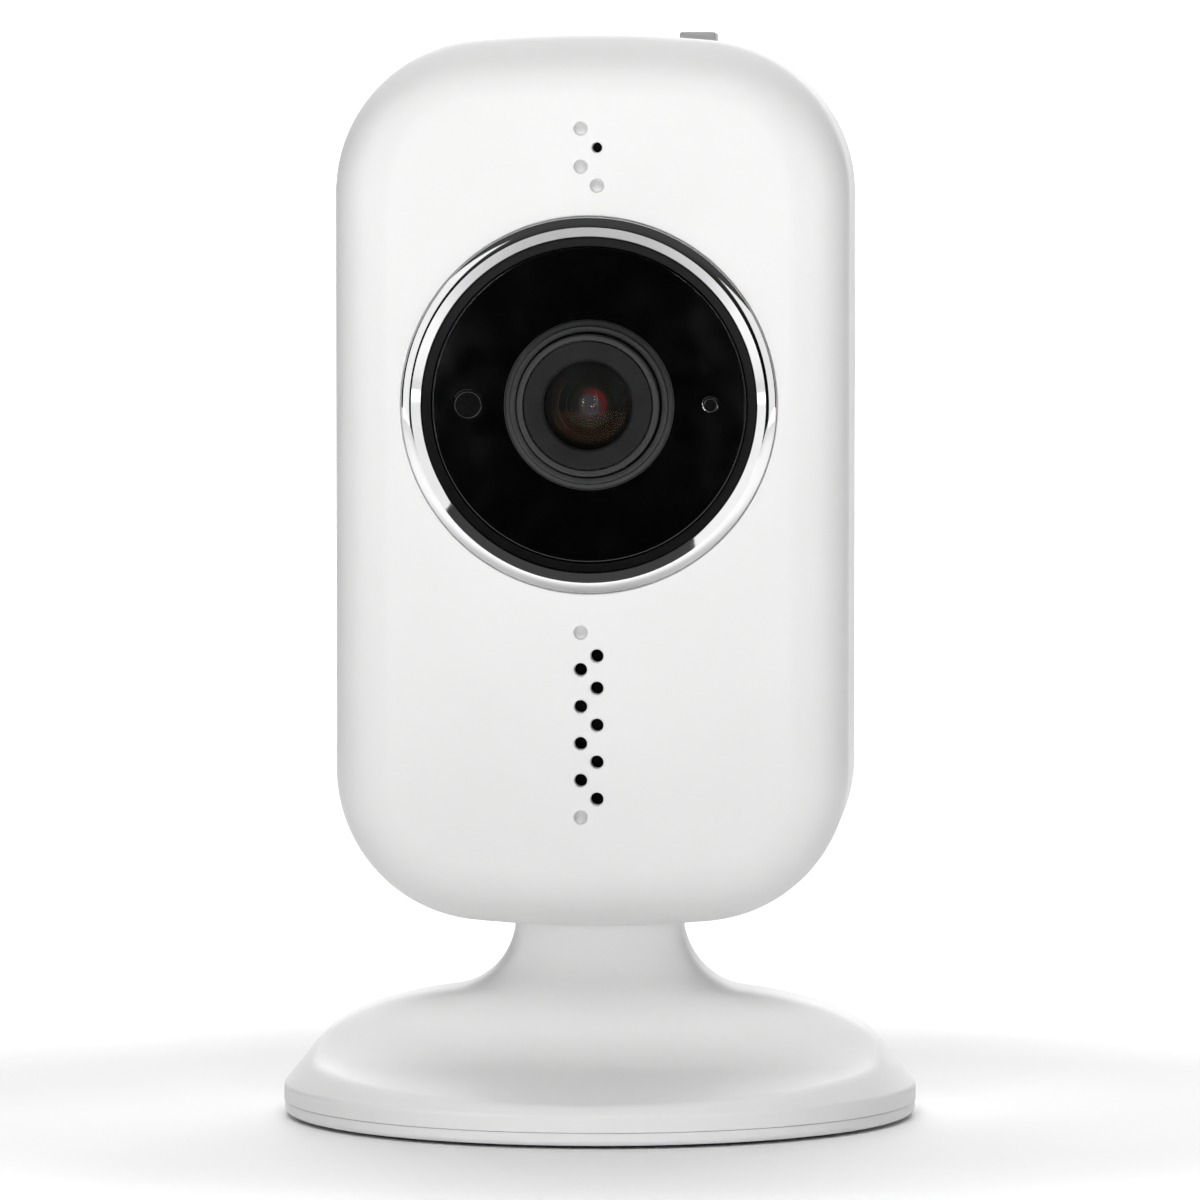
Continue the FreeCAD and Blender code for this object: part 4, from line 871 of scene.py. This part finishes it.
def make_stand():
    """Rim wall, chamfer, soft ridge, flared top, neck and knuckle, drawn ring by ring."""
    corner = [(STAND_RADIUS - 1.0 + c, WALL_TOP - 0.35 + s)
              for c, s in arc(0, 0, 1.0, 0, 38.8, 6)]
    wall = [(STAND_RADIUS - 0.05, FLOOR_SEAM), (STAND_RADIUS - 0.015, FLOOR_SEAM + 0.01),
            (STAND_RADIUS, FLOOR_SEAM + 0.045)] + corner
    rings = [lambda b, p=p: p for p in wall]
    rings += [lambda b, t=t / 5: soft_ridge(b, t) for t in range(6)]
    for k in range(1, TOP_RINGS + 1):
        share = RIDGE_SHARE + (1 - RIDGE_SHARE) * k / TOP_RINGS
        rings.append(lambda b, share=share: top_point(b, share))
    rings.append(lambda b: (top_reach(b, NECK_TOP_LEVEL), HINGE_Z))

    def around(place):
        """Turns a place of (radius, z) on a bearing into a move for a whole ring."""
        def move(p):
            bearing = math.atan2(p.y, p.x)
            reach, z = place(bearing)
            return (reach * math.cos(bearing), reach * math.sin(bearing), z)
        return move

    first = around(rings[0])
    stand = start_ring("stand_body", ROUND, lambda k: first(
        Vector((math.cos(TAU * k / ROUND), math.sin(TAU * k / ROUND), 0))))
    for place in rings[1:]:
        next_ring(stand, around(place))
    for step in range(1, KNUCKLE_STEPS + 1):
        turn = math.radians(KNUCKLE_TURN * step)
        narrow = math.cos(turn) / math.cos(math.radians(KNUCKLE_TURN * (step - 1)))
        height = HINGE_Z + NECK_HALF_DEPTH * math.sin(turn)
        next_ring(stand, lambda p, n=narrow, h=height: (p.x, p.y * n, h))
    close_ring()
    finish_edit(stand, 0.0005)
    modify(stand, "SOLIDIFY", thickness=STAND_WALL * MM, offset=-1.0)
    smooth(stand, 40)
    return stand_for(stand, "stand", "white_plastic", "stand_shell", finish=PAINTED_BRIGHT_STAND_WHITE)


def make_stand_floor():
    """Round floor plate with a soft lower edge, a groove for the foot and four screw wells."""
    edge = arc(STAND_RADIUS - 0.75, 1.05, 0.65, -90, 0, 6)
    outline = [(0, 1.9), (0, 0.4), (31.35, 0.4), (31.35, 1.0), (35.65, 1.0), (35.65, 0.4)]
    outline += edge + [(STAND_RADIUS - 0.1, 1.86), (STAND_RADIUS - 0.13, 1.9)]
    plate = upright("stand_floor", outline)
    wells = []
    bore = [(0, 0), (2.4, 0), (2.25, 0.42), (2.25, 1.3), (0, 1.3)]
    for x in (-27.0, 27.0):
        for y in (-6.5, 6.5):
            well = upright("well", bore, steps=40)
            for vertex in well.data.vertices:
                vertex.co += Vector((x, y, 0)) * MM
            wells.append(well)
    carve(plate, join(wells, "wells"))
    smooth(plate, 28)
    return stand_for(plate, "stand", "white_plastic", "stand_cover", finish=PAINTED_BRIGHT_STAND_WHITE)


def make_foot():
    """Soft ring with two shallow grooves in its underside."""
    outline = [(31.4, 1.0), (31.4, 0.25), (31.5, 0.08), (31.7, 0.0), (32.5, 0.0), (32.6, 0.2),
               (32.9, 0.2), (33.0, 0.0), (34.0, 0.0), (34.1, 0.2), (34.4, 0.2), (34.5, 0.0),
               (35.3, 0.0), (35.5, 0.08), (35.6, 0.25), (35.6, 1.0)]
    foot = upright("foot", outline)
    smooth(foot, 25)
    return stand_for(foot, "stand", "grey_rubber", "foot_ring")


# ---- studio --------------------------------------------------------------------------------
# direction, angle of full light and angle where it ends, both in degrees, and brightness
SKY_PATCHES = (
    ((0, 1, 0), 12, 42, 1.1),
    ((0, 0.9, 1), 24, 54, 1.6),
    ((0, -0.2, 1), 40, 75, 0.07),
    ((0, 0, 1), 179, 180, 0.006),
)
# the table's glow starts this far from the stand's middle and is full at the next distance; inside the start the
# missing glow paints a soft shadow round the stand
GLOW_START, GLOW_FULL, GLOW = 0.062, 0.17, 0.60     # metres from the stand's middle, strength


def add_camera():
    """Long lens, a little to the right of straight on and level with the lens."""
    azimuth, distance, height, aim_z = math.radians(3.5), 1000.0, 115.0, 62.0
    data = bpy.data.cameras.new("view")
    data.lens, data.sensor_width = 253.5, 36.0
    data.clip_start, data.clip_end = 0.05, 20.0
    data.shift_y = -0.0067
    camera = bpy.data.objects.new("view", data)
    bpy.context.scene.collection.objects.link(camera)
    camera.location = Vector(
        (math.sin(azimuth) * distance, -math.cos(azimuth) * distance, height)) * MM
    look = Vector((0, 0, aim_z)) * MM - camera.location
    camera.rotation_euler = look.to_track_quat("-Z", "Y").to_euler()
    bpy.context.scene.camera = camera


def add_softbox(name, position, aim, size, watts, mirrored=True, lighting=True):
    """Rectangular lamp that lights the object, shows in its bright parts, or does both."""
    data = bpy.data.lights.new(name, "AREA")
    data.shape = "RECTANGLE"
    data.size, data.size_y = size[0] * MM, size[1] * MM
    data.energy = watts
    lamp = bpy.data.objects.new(name, data)
    bpy.context.scene.collection.objects.link(lamp)
    lamp.location = Vector(position) * MM
    lamp.rotation_euler = (Vector(aim) * MM - lamp.location).to_track_quat("-Z", "Y").to_euler()
    lamp.visible_glossy = lamp.visible_transmission = mirrored
    lamp.visible_diffuse = lighting


def add_sky():
    """White backdrop from every side; it lights from behind and above, and is dark in front."""
    world = bpy.data.worlds.new("studio")
    world.use_nodes = True
    bpy.context.scene.world = world
    nodes, links = world.node_tree.nodes, world.node_tree.links
    way = nodes.new("ShaderNodeTexCoord").outputs["Generated"]

    def along(direction):
        dot = nodes.new("ShaderNodeVectorMath")
        dot.operation = "DOT_PRODUCT"
        dot.inputs[1].default_value = Vector(direction).normalized()
        links.new(way, dot.inputs[0])
        return dot.outputs["Value"]

    def glow(direction, inner, outer, brightness):
        """Soft-edged patch of light: full inside one angle, none past the other, in degrees."""
        ramp = nodes.new("ShaderNodeMapRange")
        ramp.interpolation_type = "SMOOTHSTEP"
        ramp.inputs["From Min"].default_value = math.cos(math.radians(outer))
        ramp.inputs["From Max"].default_value = math.cos(math.radians(inner))
        ramp.inputs["To Min"].default_value = 0.0
        ramp.inputs["To Max"].default_value = brightness
        links.new(along(direction), ramp.inputs["Value"])
        return ramp.outputs["Result"]

    total = nodes.new("ShaderNodeLightPath").outputs["Is Camera Ray"]
    for patch in SKY_PATCHES:
        light = glow(*patch)
        add = nodes.new("ShaderNodeMath")
        add.operation = "ADD"
        links.new(total, add.inputs[0])
        links.new(light, add.inputs[1])
        total = add.outputs["Value"]
    back = nodes["Background"]
    links.new(total, back.inputs["Strength"])
    back.inputs["Color"].default_value = (1, 1, 1, 1)


def glowing_table_painted_shadow():
    """Pale table top that glows, less to the left and right; close round the stand the glow is missing, which
    paints a soft shadow there.
    """
    table = plain_finish("pale_table", (0.94, 0.94, 0.94), (0.93, 0.93, 0.93),
                         (0.55, 0.7), 6, 900, (0.02, 0.02))
    nodes, links = table.node_tree.nodes, table.node_tree.links
    shader = nodes["Principled BSDF"]
    # painted shade to the sides: distances left and right count for less, so the glow there rises later
    squeezed = nodes.new("ShaderNodeVectorMath")
    squeezed.operation = "MULTIPLY"
    squeezed.inputs[1].default_value = (0.85, 1, 1)
    links.new(nodes["Texture Coordinate"].outputs["Object"], squeezed.inputs[0])
    away = nodes.new("ShaderNodeVectorMath")
    away.operation = "LENGTH"
    links.new(squeezed.outputs["Vector"], away.inputs[0])
    # painted shadow: no glow close to the stand, rising to full glow further out
    glow = nodes.new("ShaderNodeMapRange")
    glow.interpolation_type = "SMOOTHSTEP"
    glow.inputs["From Min"].default_value = GLOW_START
    glow.inputs["From Max"].default_value = GLOW_FULL
    glow.inputs["To Max"].default_value = GLOW
    links.new(away.outputs["Value"], glow.inputs["Value"])
    links.new(glow.outputs["Result"], shader.inputs["Emission Strength"])
    shader.inputs["Emission Color"].default_value = (1, 1, 1, 1)
    return table


def add_floor():
    """Table top, wider than the view and open behind to the white backdrop."""
    clear_selection()
    bpy.ops.mesh.primitive_plane_add(size=1.0, location=(0, -0.1, 0))
    floor = bpy.context.object
    floor.name = "table_top"
    floor.scale = (4.0, 1.4, 1.0)
    bpy.ops.object.transform_apply(location=True, rotation=True, scale=True)
    dress(floor, glowing_table_painted_shadow())


def add_studio():
    add_camera()
    add_sky()
    add_floor()
    lens = (0, HEAD_FRONT, RING_Z)
    add_softbox("key_light", (0, -300, 300), (0, -20, 60), (200, 140), 0.65, mirrored=False)
    add_softbox("front_light", (0, -620, 60), (0, -20, 50), (320, 120), 0.72, mirrored=False)
    add_softbox("left_light", (-400, -300, 245), lens, (420, 450), 0.80, lighting=False)
    add_softbox("right_light", (400, -300, 190), lens, (380, 340), 0.50, lighting=False)
    add_softbox("left_strip", (-114, -890, 96), lens, (12, 110), 0.20, lighting=False)
    add_softbox("right_strip", (5, -895, 96), lens, (12, 110), 0.20, lighting=False)
    bpy.context.scene.view_settings.view_transform = "Standard"


# ---- put together --------------------------------------------------------------------------
dress_frame()
make_head_front()
make_head_back()
make_bright_ring()
make_black_rim()
make_window()
make_plug("light_sensor_plug", -PLUG_X, 1.6, "light_sensor_window")
make_plug("status_light_plug", PLUG_X, 0.84, "status_light_window")
make_lens_collar()
make_lens_body()
make_lens_front_ring()
FRONT_GLASS = coated_glass("front_coating", (0.9, 0.94, 0.9), 110)
make_glass("front_glass", "lens_front_glass", 5.4, HEAD_FRONT - 0.7, 1.6, 1.25, 0.9, FRONT_GLASS)
# the middle glass carries the painted lens glow and painted red reflection
make_glass("middle_glass", "lens_middle_glass", MIDDLE_GLASS_RADIUS, -18.0, 2.2, 0.5, -0.6,
           painted_lens_glow())
make_push_button()
make_stand()
make_stand_floor()
make_foot()
add_studio()
